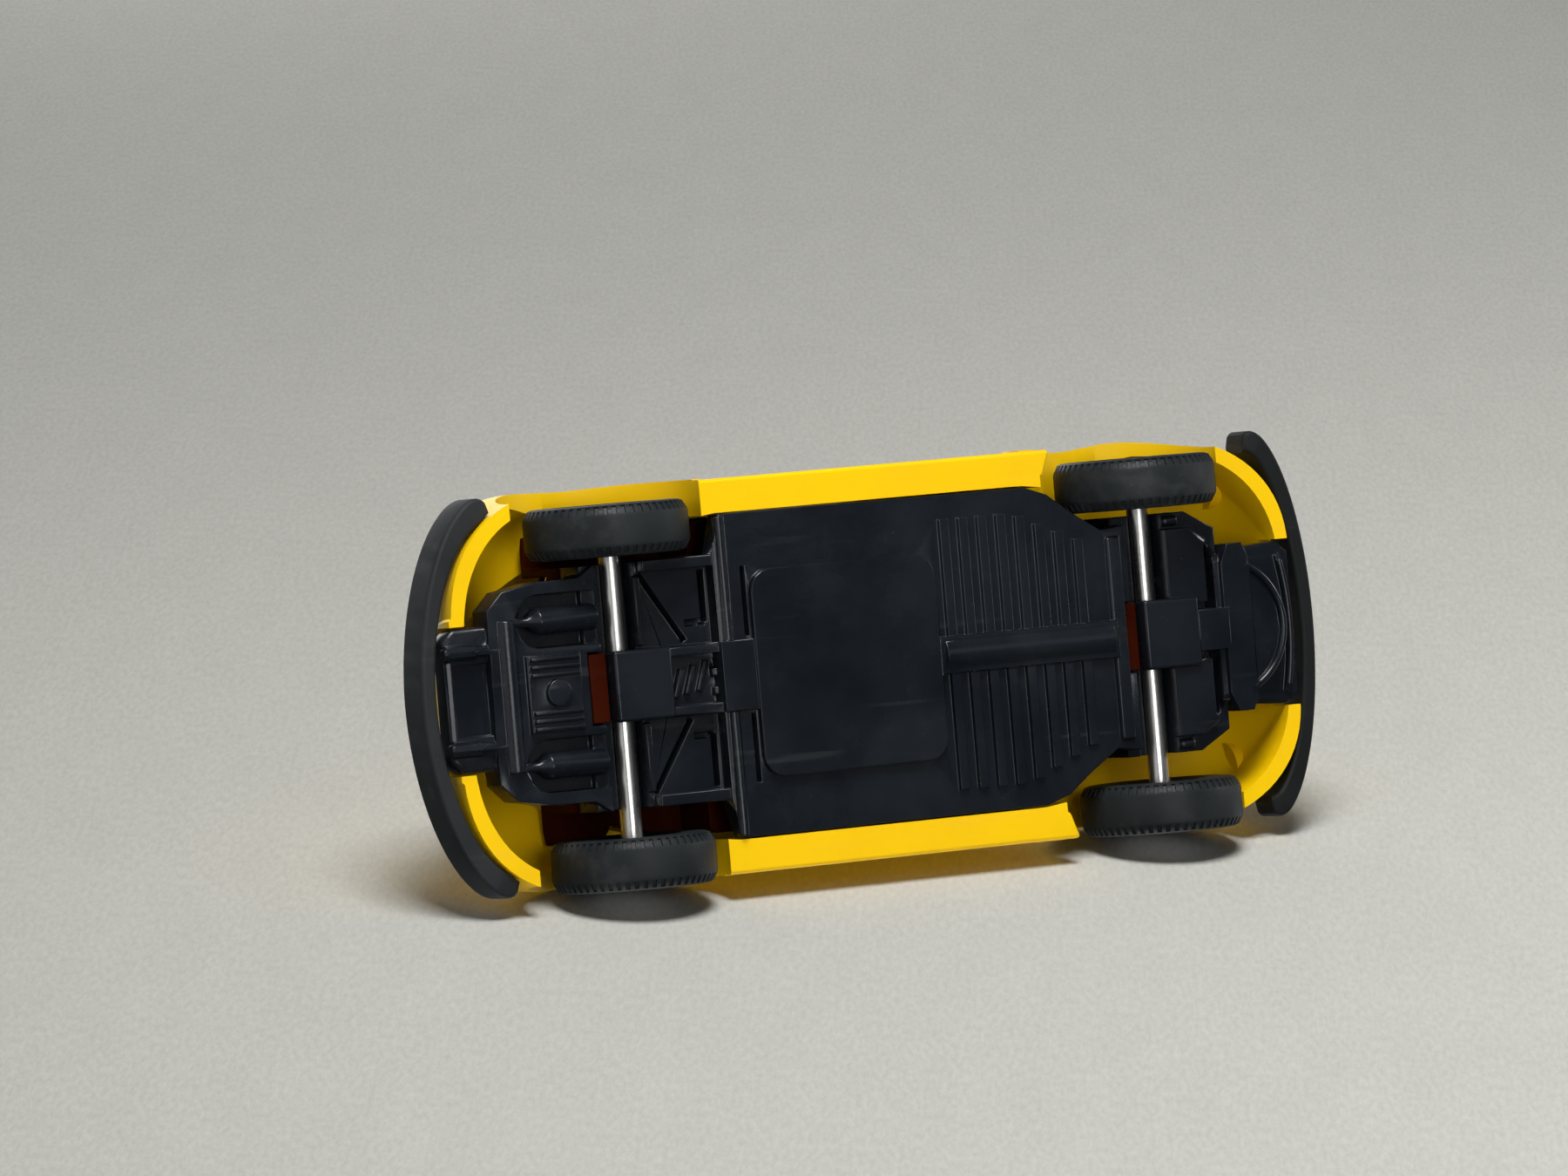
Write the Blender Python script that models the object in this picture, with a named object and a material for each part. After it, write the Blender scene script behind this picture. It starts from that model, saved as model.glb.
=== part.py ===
"""A 1:87 model of a rounded rear-engine two-door saloon, as its separate moulded pieces.

Sizes are in millimetres, and become metres where a solid becomes an object. +X is the front of the car,
+Y its left side and +Z up. The origin is under the middle of the car, on the surface that its tyres stand on.
"""

import math

import bmesh
import bpy
from mathutils import Matrix, Vector

METRES = 0.001

# Overall sizes
WHEELBASE = 27.8
FRONT_OVERHANG = 8.8
REAR_OVERHANG = 10.2
HEIGHT = 17.2
DOOR_HALF_WIDTH = 8.0
FENDER_HALF_WIDTH = 9.0
BUMPER_HALF_WIDTH = 9.2

# Wheels and axles
TYRE_DIAMETER = 7.5
TYRE_WIDTH = 2.35
TRACK = 15.0
RIM_DIAMETER = 4.5
WEB_FACE = 0.1
AXLE_DIAMETER = 1.0
AXLE_END_INSET = 0.3
AXLE_CHAMFER = 0.15
END_FLOAT = 0.9

# Walls and clearances
WALL = 0.6
FIT = 0.08
RUNNING_FIT = 0.06
WHEEL_CLEARANCE = 0.325
GLAZING_WALL = 0.45
PANE_INSET = 0.12

# Body shape
NOSE_REACH = 7.7
TAIL_REACH = 8.65
COWL_SETBACK = 7.0
ROOF_SETBACK = 2.0
NOSE_Z = 5.3
TAIL_Z = 5.2
COWL_Z = 11.9
BELT_Z = 10.9
SILL_Z = 2.35
SILL_HEIGHT = 0.8
SILL_ROOT = 0.4
SILL_LAP = 1.0
SILL_TIP = 0.5
SILL_TIP_SETBACK = 0.06
FENDER_LIP_Z = 3.1
FENDER_RISE = 2.0
FENDER_END_RISE = 0.4
FENDER_ROOT_Y = 1.5
NOSE_HALF_WIDTH = 3.5
TAIL_HALF_WIDTH = 3.6
TAIL_FENDER_INSET = 0.6
FRONT_ARCH_GAP = 1.15
FRONT_ARCH_SETBACK = 0.8
REAR_ARCH_GAP = 0.95
REAR_ARCH_SETBACK = 0.45
ARCH_DROP = 0.5
FRONT_ARCH_EDGE = 0.75
REAR_ARCH_EDGE = 0.38
NOTCH_TOP = 4.5

# Curves of the body: the first power shapes the start of each fall and the second its end
BONNET_CURVE = (2.2, 1.8)
SCREEN_CURVE = (2.4, 1.25)
TAIL_CURVE = (1.8, 1.4)
NOSE_PLAN = (1.4, 1.2)
TAIL_PLAN = (1.3, 1.2)
FENDER_PLAN = (2.2, 2.2)
FRONT_CROWN_CURVE = (2.5, 2.5)
FENDER_CROWN_CURVE = (2.3, 2.3)
FENDER_SECTION = 2.4
HULL_SECTION = 2.3
CABIN_SECTION = 2.9
SHOULDER_SHARE = 0.32
FENDER_SIDE_SHARE = 0.7

# Bumpers
BUMPER_Z = 3.2
BUMPER_HEIGHT = 2.0
BUMPER_THICKNESS = 0.72
BUMPER_CHAMFER = 0.2
FRONT_BUMPER_SWEEP = 3.0
FRONT_BUMPER_END = 1.2
FRONT_BUMPER_PLAN = 2.0
REAR_BUMPER_SWEEP = 4.2
REAR_BUMPER_END = 1.35
REAR_BUMPER_PLAN = 1.9

# Lamps
HEADLAMP_RADIUS = 1.1
HEADLAMP_Y = 6.7
HEADLAMP_Z = 7.0
HEADLAMP_INSET = 1.2
TAIL_LAMP_RADIUS = 0.8
TAIL_LAMP_Y = 6.6
TAIL_LAMP_Z = 6.6
TAIL_LAMP_INSET = 1.7
LAMP_RIM = 0.25
LENS_DEPTH = 0.35
LAMP_POCKET = 0.45
LAMP_BACK = 0.9

# Chassis: heights of its underside above the surface that the tyres stand on
FLOOR_Z = 2.3
FLOOR_TOP = 3.3
PLATE_Z = 2.0
RIB_Z = 2.1
RAIL_Z = 2.35
TONGUE_Z = 2.2
BLOCK_Z = 3.0
ENGINE_Z = 2.75
BRACKET_Z = 3.0
WELL_Z = 2.55
CHASSIS_TOP_AT_ENDS = 4.2

# Chassis: widths and details
AXLE_BLOCK_ROOF = 0.7
SLOT_REAR = 1.3
SLOT_FRONT = 0.62
TONGUE_HALF_WIDTH = 1.6
TONGUE_REAR = 0.95
TONGUE_FRONT = 2.0
PEG_REACH = 2.0
PEG_HALF_WIDTH = 1.65
PLATE_HALF_WIDTH = 4.8
PLATE_CORNER = 1.1
RIB_COUNT = 8
RIB_PITCH = 1.0
RIB_WIDTH = 0.5
RIB_HALF_SPAN = 6.2
TUNNEL_HALF_WIDTH = 0.85
RAIL_INNER = 1.15
BORDER_WIDTH = 0.5
TUBE_RADIUS = 0.28
TAIL_END_RADIUS = 0.36
GROOVE_WIDTH = 0.3
GROOVE_TOP = 3.6
EXCHANGER_Y = 3.25
EXCHANGER_RADIUS = 0.6
SUMP_HALF_WIDTH = 1.75
FIN_PITCH = 0.36
FIN_WIDTH = 0.18
BRACKET_HALF_WIDTH = 3.25
APRON_HALF_WIDTH = 3.8
SPARE_WELL_RADIUS = 3.4
APRON_RIDGE_RADIUS = 14.0
EDGE = 0.15

# Cabin
SEAT_HALF_WIDTH = 2.1
SEAT_Y = 3.3
CABIN_CLEARANCE = 0.3
TUB_FLOOR = 0.75
WHEELHOUSE_WALL = 0.4
WHEELHOUSE_HALF_WIDTH = 7.0
WHEELHOUSE_GAP = 0.3
WHEELHOUSE_REAR = 2.2
STEERING_RADIUS = 1.75

# Facets
WHEEL_SEGMENTS = 20
ROUND_SEGMENTS = 14
HULL_STATIONS = 9
HULL_STEPS = 7
FENDER_STATIONS = 11
FENDER_STEPS = 5
BUMPER_STATIONS = 16

# Places that follow from the sizes
LENGTH = FRONT_OVERHANG + WHEELBASE + REAR_OVERHANG
FRONT_X = LENGTH / 2 - FRONT_OVERHANG
REAR_X = FRONT_X - WHEELBASE
TYRE_RADIUS = TYRE_DIAMETER / 2
AXLE_RADIUS = AXLE_DIAMETER / 2
AXLE_Z = TYRE_RADIUS
NOSE_X = FRONT_X + NOSE_REACH
TAIL_X = REAR_X - TAIL_REACH
COWL_X = FRONT_X - COWL_SETBACK
ROOF_X = (FRONT_X + REAR_X) / 2 - ROOF_SETBACK
FENDER_TOP = TYRE_DIAMETER + FENDER_RISE
FRONT_ARCH_RADIUS = TYRE_RADIUS + FRONT_ARCH_GAP
FRONT_ARCH_X = FRONT_X - FRONT_ARCH_SETBACK
REAR_ARCH_RADIUS = TYRE_RADIUS + REAR_ARCH_GAP
REAR_ARCH_X = REAR_X - REAR_ARCH_SETBACK
REAR_FENDER_FRONT = REAR_ARCH_X + REAR_ARCH_RADIUS + REAR_ARCH_EDGE
FRONT_FENDER_REAR = FRONT_ARCH_X - FRONT_ARCH_RADIUS - FRONT_ARCH_EDGE
FRONT_FENDER_END = NOSE_X - 0.1
REAR_FENDER_END = TAIL_X + 0.1
HEADLAMP_X = FRONT_FENDER_END - HEADLAMP_INSET
TAIL_LAMP_X = REAR_FENDER_END + TAIL_LAMP_INSET
CHASSIS_HALF_AT_WHEELS = TRACK / 2 - TYRE_WIDTH / 2 - END_FLOAT / 2 - WHEEL_CLEARANCE
PAN_HALF_WIDTH = DOOR_HALF_WIDTH - WALL - FIT
PAN_REAR = REAR_FENDER_FRONT + 0.35
PLATE_REAR = REAR_X + 6.1
PLATE_FRONT = FRONT_X - 11.9
AXLE_BLOCK_TOP = AXLE_Z + AXLE_RADIUS + AXLE_BLOCK_ROOF
TONGUE_TOP = AXLE_Z - AXLE_RADIUS - RUNNING_FIT
TUB_Z = AXLE_BLOCK_TOP + FIT

# For cutters that pass right through, and for points that a Boolean leaves almost together
REACH = 60.0
SLIVER = 0.0002


def loft(rings):
    """A closed solid through rings of points that all run the same way round."""
    solid = bmesh.new()
    rows = [[solid.verts.new(point) for point in ring] for ring in rings]
    for row, following in zip(rows, rows[1:]):
        for here in range(len(row)):
            there = (here + 1) % len(row)
            solid.faces.new((row[here], row[there], following[there], following[here]))
    solid.faces.new(rows[0])
    solid.faces.new(rows[-1])
    bmesh.ops.recalc_face_normals(solid, faces=solid.faces)
    return solid


def prism(outline, low, high):
    """An outline of (x, y) points raised from one height to another."""
    return loft([[(x, y, z) for x, y in outline] for z in (low, high)])


def box(x_range, y_range, z_range):
    corners = [(x_range[0], y_range[0]), (x_range[1], y_range[0])]
    corners += [(x_range[1], y_range[1]), (x_range[0], y_range[1])]
    return prism(corners, *z_range)


def turned(profile, axis, segments):
    """A solid turned round an axis from a closed (along, radius) profile."""
    solid = bmesh.new()
    ring = [solid.verts.new((along, 0.0, radius)) for along, radius in profile]
    edges = [
        solid.edges.new((ring[i - 1], ring[i]))
        for i in range(len(ring))
        if profile[i - 1][1] > 0 or profile[i][1] > 0
    ]
    bmesh.ops.spin(
        solid,
        geom=ring + edges,
        cent=(0, 0, 0),
        axis=(1, 0, 0),
        angle=math.tau,
        steps=segments,
        use_merge=True,
    )
    bmesh.ops.remove_doubles(solid, verts=solid.verts, dist=1e-5)
    bmesh.ops.recalc_face_normals(solid, faces=solid.faces)
    turn = Vector((1, 0, 0)).rotation_difference(Vector(axis)).to_matrix()
    bmesh.ops.rotate(solid, verts=solid.verts, matrix=turn)
    return solid


def rod(start, end, radius, segments=ROUND_SEGMENTS):
    """A round bar between two points."""
    along = Vector(end) - Vector(start)
    across = along.orthogonal().normalized() * radius
    spokes = [Matrix.Rotation(math.tau * (i + 0.5) / segments, 3, along) @ across for i in range(segments)]
    return loft([[Vector(centre) + spoke for spoke in spokes] for centre in (start, end)])


def moved(solid, offset):
    bmesh.ops.translate(solid, verts=solid.verts, vec=Vector(offset))
    return solid


def mirrored(solid):
    """A copy of a solid on the other side of the car."""
    other = solid.copy()
    bmesh.ops.scale(other, verts=other.verts, vec=(1, -1, 1))
    bmesh.ops.reverse_faces(other, faces=other.faces)
    return other


def on_both_sides(solids):
    return solids + [mirrored(solid) for solid in solids]


def softened(solid, width, steps=2):
    """A solid with its sharp edges rounded."""
    sharp = [edge for edge in solid.edges if edge.calc_face_angle(0) > math.radians(40)]
    bmesh.ops.bevel(
        solid, geom=sharp, offset=width, segments=steps, profile=0.5, affect="EDGES", material=-1
    )
    return solid


def temporary(solid):
    """An object of a solid, which is used up. It has flat triangles, so that Booleans read it exactly."""
    bmesh.ops.triangulate(solid, faces=solid.faces)
    mesh = bpy.data.meshes.new("operand")
    solid.to_mesh(mesh)
    solid.free()
    operand = bpy.data.objects.new("operand", mesh)
    bpy.context.scene.collection.objects.link(operand)
    return operand


def combined(first, others, operation):
    """The Boolean of one solid with several others at once. All of them are used up."""
    operands = [temporary(solid) for solid in [first] + others]
    tools = bpy.data.collections.new("tools")
    for operand in operands[1:]:
        tools.objects.link(operand)
    boolean = operands[0].modifiers.new("combine", "BOOLEAN")
    boolean.operation = operation
    boolean.solver = "EXACT"
    boolean.operand_type = "COLLECTION"
    boolean.collection = tools
    result = bmesh.new()
    result.from_object(operands[0], bpy.context.evaluated_depsgraph_get())
    bmesh.ops.remove_doubles(result, verts=result.verts, dist=SLIVER)
    for operand in operands:
        mesh = operand.data
        bpy.data.objects.remove(operand)
        bpy.data.meshes.remove(mesh)
    bpy.data.collections.remove(tools)
    return result


def united(solids):
    return combined(solids[0], solids[1:], "UNION")


def cut(solid, tools):
    return combined(solid, tools, "DIFFERENCE")


def common(first, second):
    return combined(first, [second], "INTERSECT")


def plastic(name, colour, roughness, metallic=0.0, alpha=1.0):
    material = bpy.data.materials.new(name)
    material.use_nodes = True
    shader = material.node_tree.nodes["Principled BSDF"]
    shader.inputs["Base Color"].default_value = (*colour, 1.0)
    shader.inputs["Roughness"].default_value = roughness
    shader.inputs["Metallic"].default_value = metallic
    shader.inputs["Alpha"].default_value = alpha
    return material


def piece(name, solid, material, parent=None):
    """Makes a named object of a solid whose points are relative to its parent, or to the car's origin."""
    bmesh.ops.scale(solid, verts=solid.verts, vec=(METRES, METRES, METRES))
    mesh = bpy.data.meshes.new(name)
    solid.to_mesh(mesh)
    solid.free()
    mesh.shade_smooth()
    mesh.set_sharp_from_angle(angle=math.radians(35))
    mesh.materials.append(material)
    made = bpy.data.objects.new(name, mesh)
    made.parent = parent
    bpy.context.scene.collection.objects.link(made)
    return made


def swell(position, start, end, curve):
    """Falls from 1 at start to 0 at end along a superellipse with the curve's two powers."""
    part = min(max((position - start) / (end - start), 0.0), 1.0)
    return (1 - part ** curve[0]) ** (1 / curve[1])


def spread(start, end, count):
    """Places from start to end that crowd towards both ends."""
    return [
        start + (end - start) * (1 - math.cos(math.pi * i / count)) / 2 for i in range(count + 1)
    ]


def hull_height(x):
    """The centre line: bonnet, then windscreen and roof front, then roof rear, lid and tail."""
    if x > COWL_X:
        return NOSE_Z + (COWL_Z - NOSE_Z) * swell(x, COWL_X, NOSE_X, BONNET_CURVE)
    if x > ROOF_X:
        return COWL_Z + (HEIGHT - COWL_Z) * swell(x, ROOF_X, COWL_X, SCREEN_CURVE)
    return TAIL_Z + (HEIGHT - TAIL_Z) * swell(x, ROOF_X, TAIL_X, TAIL_CURVE)


def hull_half_width(x):
    if x > COWL_X:
        return NOSE_HALF_WIDTH + (DOOR_HALF_WIDTH - NOSE_HALF_WIDTH) * swell(x, COWL_X, NOSE_X, NOSE_PLAN)
    widening = DOOR_HALF_WIDTH - TAIL_HALF_WIDTH
    return TAIL_HALF_WIDTH + widening * swell(x, REAR_FENDER_FRONT, TAIL_X, TAIL_PLAN)


def hull_ring(x, inset, bottom):
    """One cross-section: upright sides that close over the top along a superellipse."""
    height = hull_height(x)
    cabin = swell(abs(x - ROOF_X), 0.0, NOSE_X - ROOF_X, (3.0, 1.0))
    boxiness = HULL_SECTION + (CABIN_SECTION - HULL_SECTION) * cabin
    shoulder = SILL_Z + SHOULDER_SHARE * (height - SILL_Z)
    half_width = hull_half_width(x) - inset
    middle = (NOSE_X + TAIL_X) / 2
    half_length = (NOSE_X - TAIL_X) / 2
    place = middle + (x - middle) * (half_length - inset) / half_length
    left = [(place, half_width, bottom)]
    for step in range(HULL_STEPS + 1):
        angle = math.pi / 2 * step / HULL_STEPS
        across = half_width * math.cos(angle) ** (2 / boxiness) if step < HULL_STEPS else 0.0
        up = shoulder + (height - inset - shoulder) * math.sin(angle) ** (2 / boxiness)
        left.append((place, across, up))
    right = [(place, -across, up) for place, across, up in reversed(left[:-1])]
    return left + right


def hull(inset=0.0, bottom=None):
    """The body without fenders. It ends below at the sills and the fender lips, unless a bottom is given."""
    front = spread(COWL_X, NOSE_X, HULL_STATIONS)
    middle = spread(ROOF_X, COWL_X, 6)
    quarter = spread(REAR_FENDER_FRONT, ROOF_X, 4)
    rear = spread(TAIL_X, REAR_FENDER_FRONT, HULL_STATIONS - 3)
    rings = []
    for x in rear + quarter[1:] + middle[1:] + front[1:]:
        between = REAR_X - TYRE_RADIUS / 2 < x < FRONT_X + TYRE_RADIUS / 2
        edge = SILL_Z if between else FENDER_LIP_Z
        rings.append(hull_ring(x, inset, edge if bottom is None else bottom))
    return loft(rings)


def fender(rear, front, crown, shoulder, tip_half_width, inset):
    """The left fender between two ends. Its crown and the shoulder of its plan lie between them."""
    bottom = FENDER_LIP_Z if inset == 0 else -1.0
    tip = front if abs(front) > abs(rear) else rear
    middle = (front + rear) / 2
    half_length = (front - rear) / 2
    lowest = FENDER_LIP_Z + FENDER_END_RISE
    rings = []
    widening = FENDER_HALF_WIDTH - tip_half_width
    for x in spread(rear, front, FENDER_STATIONS):
        half_width = tip_half_width + widening * swell(x, shoulder, tip, FENDER_PLAN) - inset
        end = front if x > crown else rear
        curve = FRONT_CROWN_CURVE if end == tip == front else FENDER_CROWN_CURVE
        top = lowest + (FENDER_TOP - lowest) * swell(x, crown, end, curve)
        turn = FENDER_LIP_Z + FENDER_SIDE_SHARE * (top - FENDER_LIP_Z) - inset
        place = middle + (x - middle) * (half_length - inset) / half_length
        ring = [(place, FENDER_ROOT_Y, bottom), (place, half_width, bottom)]
        for step in range(FENDER_STEPS + 1):
            angle = math.pi / 2 * step / FENDER_STEPS
            across = math.cos(angle) ** (2 / FENDER_SECTION) if step < FENDER_STEPS else 0.0
            up = math.sin(angle) ** (2 / FENDER_SECTION)
            y = FENDER_ROOT_Y + (half_width - FENDER_ROOT_Y) * across
            ring.append((place, y, turn + (top - inset - turn) * up))
        rings.append(ring)
    return loft(rings)


def front_fender(inset=0.0):
    crown = FRONT_X + 0.6
    return fender(FRONT_FENDER_REAR, FRONT_FENDER_END, crown, crown, NOSE_HALF_WIDTH, inset)


def rear_fender(inset=0.0):
    crown = REAR_X - 1.0
    shoulder = REAR_X - 2.8
    tip_half_width = TAIL_HALF_WIDTH - TAIL_FENDER_INSET
    return fender(REAR_FENDER_END, REAR_FENDER_FRONT, crown, shoulder, tip_half_width, inset)


def rounded_outline(corners, radius, steps=3):
    """A polygon's points with each corner replaced by an arc."""
    points = []
    for before, here, after in zip(corners[-1:] + corners[:-1], corners, corners[1:] + corners[:1]):
        here = Vector(here)
        back = (Vector(before) - here).normalized()
        ahead = (Vector(after) - here).normalized()
        reach = radius / math.tan(back.angle(ahead) / 2)
        centre = here + (back + ahead).normalized() * radius / math.sin(back.angle(ahead) / 2)
        first = here + back * reach - centre
        last = here + ahead * reach - centre
        for step in range(steps + 1):
            points.append(tuple(centre + first.slerp(last, step / steps)))
    return points


def window_tools(gap=0.0):
    """Cutters for all windows, each smaller by the gap all round."""
    top = HEIGHT - 1.9
    low = BELT_Z + gap
    pillar = ROOF_X - 2.4
    door = [
        (COWL_X - 2.4 - 2 * gap, low),
        (COWL_X - 5.0 - gap, top - 0.2 - gap),
        (pillar + 0.7 + gap, top - gap),
        (pillar + 0.2 + gap, low),
    ]
    quarter = [
        (pillar - 0.8 - gap, low),
        (pillar - 0.5 - gap, top - 0.2 - gap),
        (pillar - 3.4 + gap, top - 0.9 - gap),
        (pillar - 5.8 + 2 * gap, BELT_Z + 0.9 + gap),
        (pillar - 4.9 + gap, low),
    ]
    screen_low = COWL_Z + 0.55 + gap
    screen = [
        (6.5 - gap, screen_low),
        (5.2 - gap, HEIGHT - 1.7 - gap),
        (-5.2 + gap, HEIGHT - 1.7 - gap),
        (-6.5 + gap, screen_low),
    ]
    rear = [
        (4.6 - gap, COWL_Z + 1.0 + gap),
        (3.9 - gap, HEIGHT - 2.1 - gap),
        (-3.9 + gap, HEIGHT - 2.1 - gap),
        (-4.6 + gap, COWL_Z + 1.0 + gap),
    ]
    tools = []
    for outline in (door, quarter):
        points = rounded_outline(outline, 0.55, 2)
        tools.append(loft([[(x, y, z) for x, z in points] for y in (-REACH, REACH)]))
    for outline, start, end in ((screen, ROOF_X + 1.5, NOSE_X), (rear, TAIL_X, ROOF_X - 4.5)):
        points = rounded_outline(outline, 0.7, 2)
        tools.append(loft([[(x, y, z) for y, z in points] for x in (start, end)]))
    return tools


def body_shell():
    """Hull, fenders, running boards and lamp housings, hollowed together and then opened."""
    sill_rear = REAR_FENDER_FRONT - SILL_LAP
    sill_front = FRONT_FENDER_REAR + FRONT_ARCH_EDGE / 4
    sill_root = DOOR_HALF_WIDTH - WALL - SILL_ROOT
    sill_edge = FENDER_HALF_WIDTH - 0.05
    sill = box((sill_rear, sill_front), (sill_root, sill_edge), (SILL_Z, SILL_Z + SILL_HEIGHT))
    tip_root = DOOR_HALF_WIDTH - WALL / 3
    tip_edge = sill_edge - SILL_TIP_SETBACK
    tip_outline = [(sill_front - 1.0, tip_root), (sill_front + SILL_TIP / 4, tip_root)]
    tip_outline += [(sill_front + SILL_TIP, tip_edge), (sill_front - 1.0, tip_edge)]
    tip = prism(tip_outline, SILL_Z + SILL_TIP_SETBACK, SILL_Z + SILL_HEIGHT - SILL_TIP_SETBACK)
    lamps = [
        (FRONT_X, HEADLAMP_X, 1, HEADLAMP_Y, HEADLAMP_Z, HEADLAMP_RADIUS),
        (REAR_X, TAIL_LAMP_X, -1, TAIL_LAMP_Y, TAIL_LAMP_Z, TAIL_LAMP_RADIUS),
    ]
    housings = []
    openings = []
    backs = []
    pockets = []
    for axle_x, face_x, forward, y, z, radius in lamps:
        beyond = (forward * REACH, y, z)
        back_x = face_x - forward * LAMP_BACK
        housings.append(rod(((axle_x + face_x) / 2, y, z), (face_x, y, z), radius + LAMP_RIM))
        openings.append(rod((face_x, y, z), beyond, radius + LAMP_RIM))
        backs.append(rod((back_x, y, z), (face_x - forward * EDGE, y, z), radius + LAMP_RIM / 2))
        pockets.append(rod((face_x - forward * LAMP_POCKET, y, z), beyond, radius, ROUND_SEGMENTS))
    sides = [front_fender(), rear_fender(), softened(sill, 0.2)]
    outside = united([hull()] + on_both_sides(sides + housings))
    inside = [hull(WALL, -1.0)] + on_both_sides([front_fender(WALL), rear_fender(WALL)])
    arches = []
    for x, radius in ((FRONT_ARCH_X, FRONT_ARCH_RADIUS), (REAR_ARCH_X, REAR_ARCH_RADIUS)):
        z = AXLE_Z - ARCH_DROP
        arches.append(rod((x, CHASSIS_HALF_AT_WHEELS, z), (x, REACH, z), radius, 2 * ROUND_SEGMENTS))
    bracket_half = BRACKET_HALF_WIDTH + FIT
    apron_half = APRON_HALF_WIDTH + FIT
    notches = [
        box((-REACH, REAR_X - 5.5), (-bracket_half, bracket_half), (-REACH, NOTCH_TOP)),
        box((FRONT_X + 4.5, REACH), (-apron_half, apron_half), (-REACH, NOTCH_TOP)),
    ]
    shell = cut(outside, inside + window_tools() + on_both_sides(openings + arches) + notches)
    return cut(united([shell] + on_both_sides(backs + [tip])), on_both_sides(pockets))


def symmetric(points):
    """An outline of (x, y) points down the left side, closed by the same points on the right."""
    return points + [(x, -y) for x, y in reversed(points)]


def both_ways(half_width):
    return (-half_width, half_width)


def engine_relief():
    """Engine plate with its exhaust: muffler, tail pipes, two heat exchangers and the finned sump."""
    half = CHASSIS_HALF_AT_WHEELS
    side = [
        (REAR_X - 6.9, half - 1.65),
        (REAR_X - 6.1, half - 0.85),
        (REAR_X - 4.4, half - 0.55),
        (REAR_X - 2.2, half - 0.5),
        (REAR_X - 1.4, half),
        (REAR_X - 0.5, half),
    ]
    plate = prism(symmetric(side), ENGINE_Z, CHASSIS_TOP_AT_ENDS)
    pocket_start = REAR_X - 5.0
    pocket_end = REAR_X - SLOT_REAR + 2 * EXCHANGER_RADIUS
    low_y = EXCHANGER_Y - EXCHANGER_RADIUS - 0.2
    high_y = EXCHANGER_Y + EXCHANGER_RADIUS + 0.2
    corners = [(pocket_start, low_y), (pocket_end, low_y), (pocket_end, high_y), (pocket_start, high_y)]
    pocket = prism(rounded_outline(corners, EXCHANGER_RADIUS), -REACH, ENGINE_Z + 0.6)
    plate = cut(plate, on_both_sides([pocket]))
    bracket_end = TAIL_X - 0.45
    bracket_side = [(REAR_X - 6.6, BRACKET_HALF_WIDTH), (bracket_end + 0.5, BRACKET_HALF_WIDTH)]
    bracket_side.append((bracket_end, BRACKET_HALF_WIDTH - 0.5))
    bracket = prism(symmetric(bracket_side), BRACKET_Z, CHASSIS_TOP_AT_ENDS)
    hollow_half = BRACKET_HALF_WIDTH / 2
    hollow = box((bracket_end + 0.4, REAR_X - 6.7), both_ways(hollow_half), (-REACH, BRACKET_Z + 0.25))
    bracket = cut(softened(bracket, 0.25), [hollow])
    muffler_x = REAR_X - 6.0
    pipe_z = ENGINE_Z + 0.15
    muffler = rod((muffler_x, -3.4, pipe_z), (muffler_x, 3.4, pipe_z), 0.45, 12)
    pipe_y = 2.15
    pipe_start = Vector((bracket_end - 0.05, pipe_y, BRACKET_Z))
    pipe = rod(pipe_start, (muffler_x, pipe_y, BRACKET_Z), TUBE_RADIUS, 10)
    tail_end = rod(pipe_start + Vector((0.1, 0, 0)), pipe_start + Vector((1.55, 0, 0)), TAIL_END_RADIUS, 10)
    profile = [(0, 0), (0, 0.22), (0.8, 0.22), (1.1, 0.42), (1.3, EXCHANGER_RADIUS), (4.2, EXCHANGER_RADIUS)]
    exchanger = moved(turned(profile + [(4.2, 0)], (1, 0, 0), 12), (REAR_X - 5.7, EXCHANGER_Y, pipe_z))
    sump_x = REAR_X - 3.75
    sump = [box((sump_x - 1.45, sump_x + 1.3), both_ways(SUMP_HALF_WIDTH), (ENGINE_Z - 0.2, ENGINE_Z + 0.3))]
    sump.append(rod((sump_x, 0, ENGINE_Z - 0.42), (sump_x, 0, ENGINE_Z), 0.62))
    for row in range(3):
        y = SUMP_HALF_WIDTH - FIN_WIDTH - FIN_PITCH * row
        across = (y - FIN_WIDTH / 2, y + FIN_WIDTH / 2)
        fin = box((sump_x - 1.3, sump_x + 1.15), across, (ENGINE_Z - 0.38, ENGINE_Z))
        sump += on_both_sides([fin])
    return [plate, bracket, muffler] + on_both_sides([pipe, tail_end, exchanger]) + sump


def axle_block(axle_x, rear, front, half_width):
    """The block that an axle runs in, and the cutters of its groove, which is open below."""
    block = box((axle_x - rear, axle_x + front), both_ways(half_width), (BLOCK_Z, AXLE_BLOCK_TOP))
    slot = box((axle_x - SLOT_REAR, axle_x + SLOT_FRONT), both_ways(REACH), (-REACH, AXLE_Z))
    groove = rod((axle_x, -REACH, AXLE_Z), (axle_x, REACH, AXLE_Z), AXLE_RADIUS + RUNNING_FIT)
    return block, [slot, groove]


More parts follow.
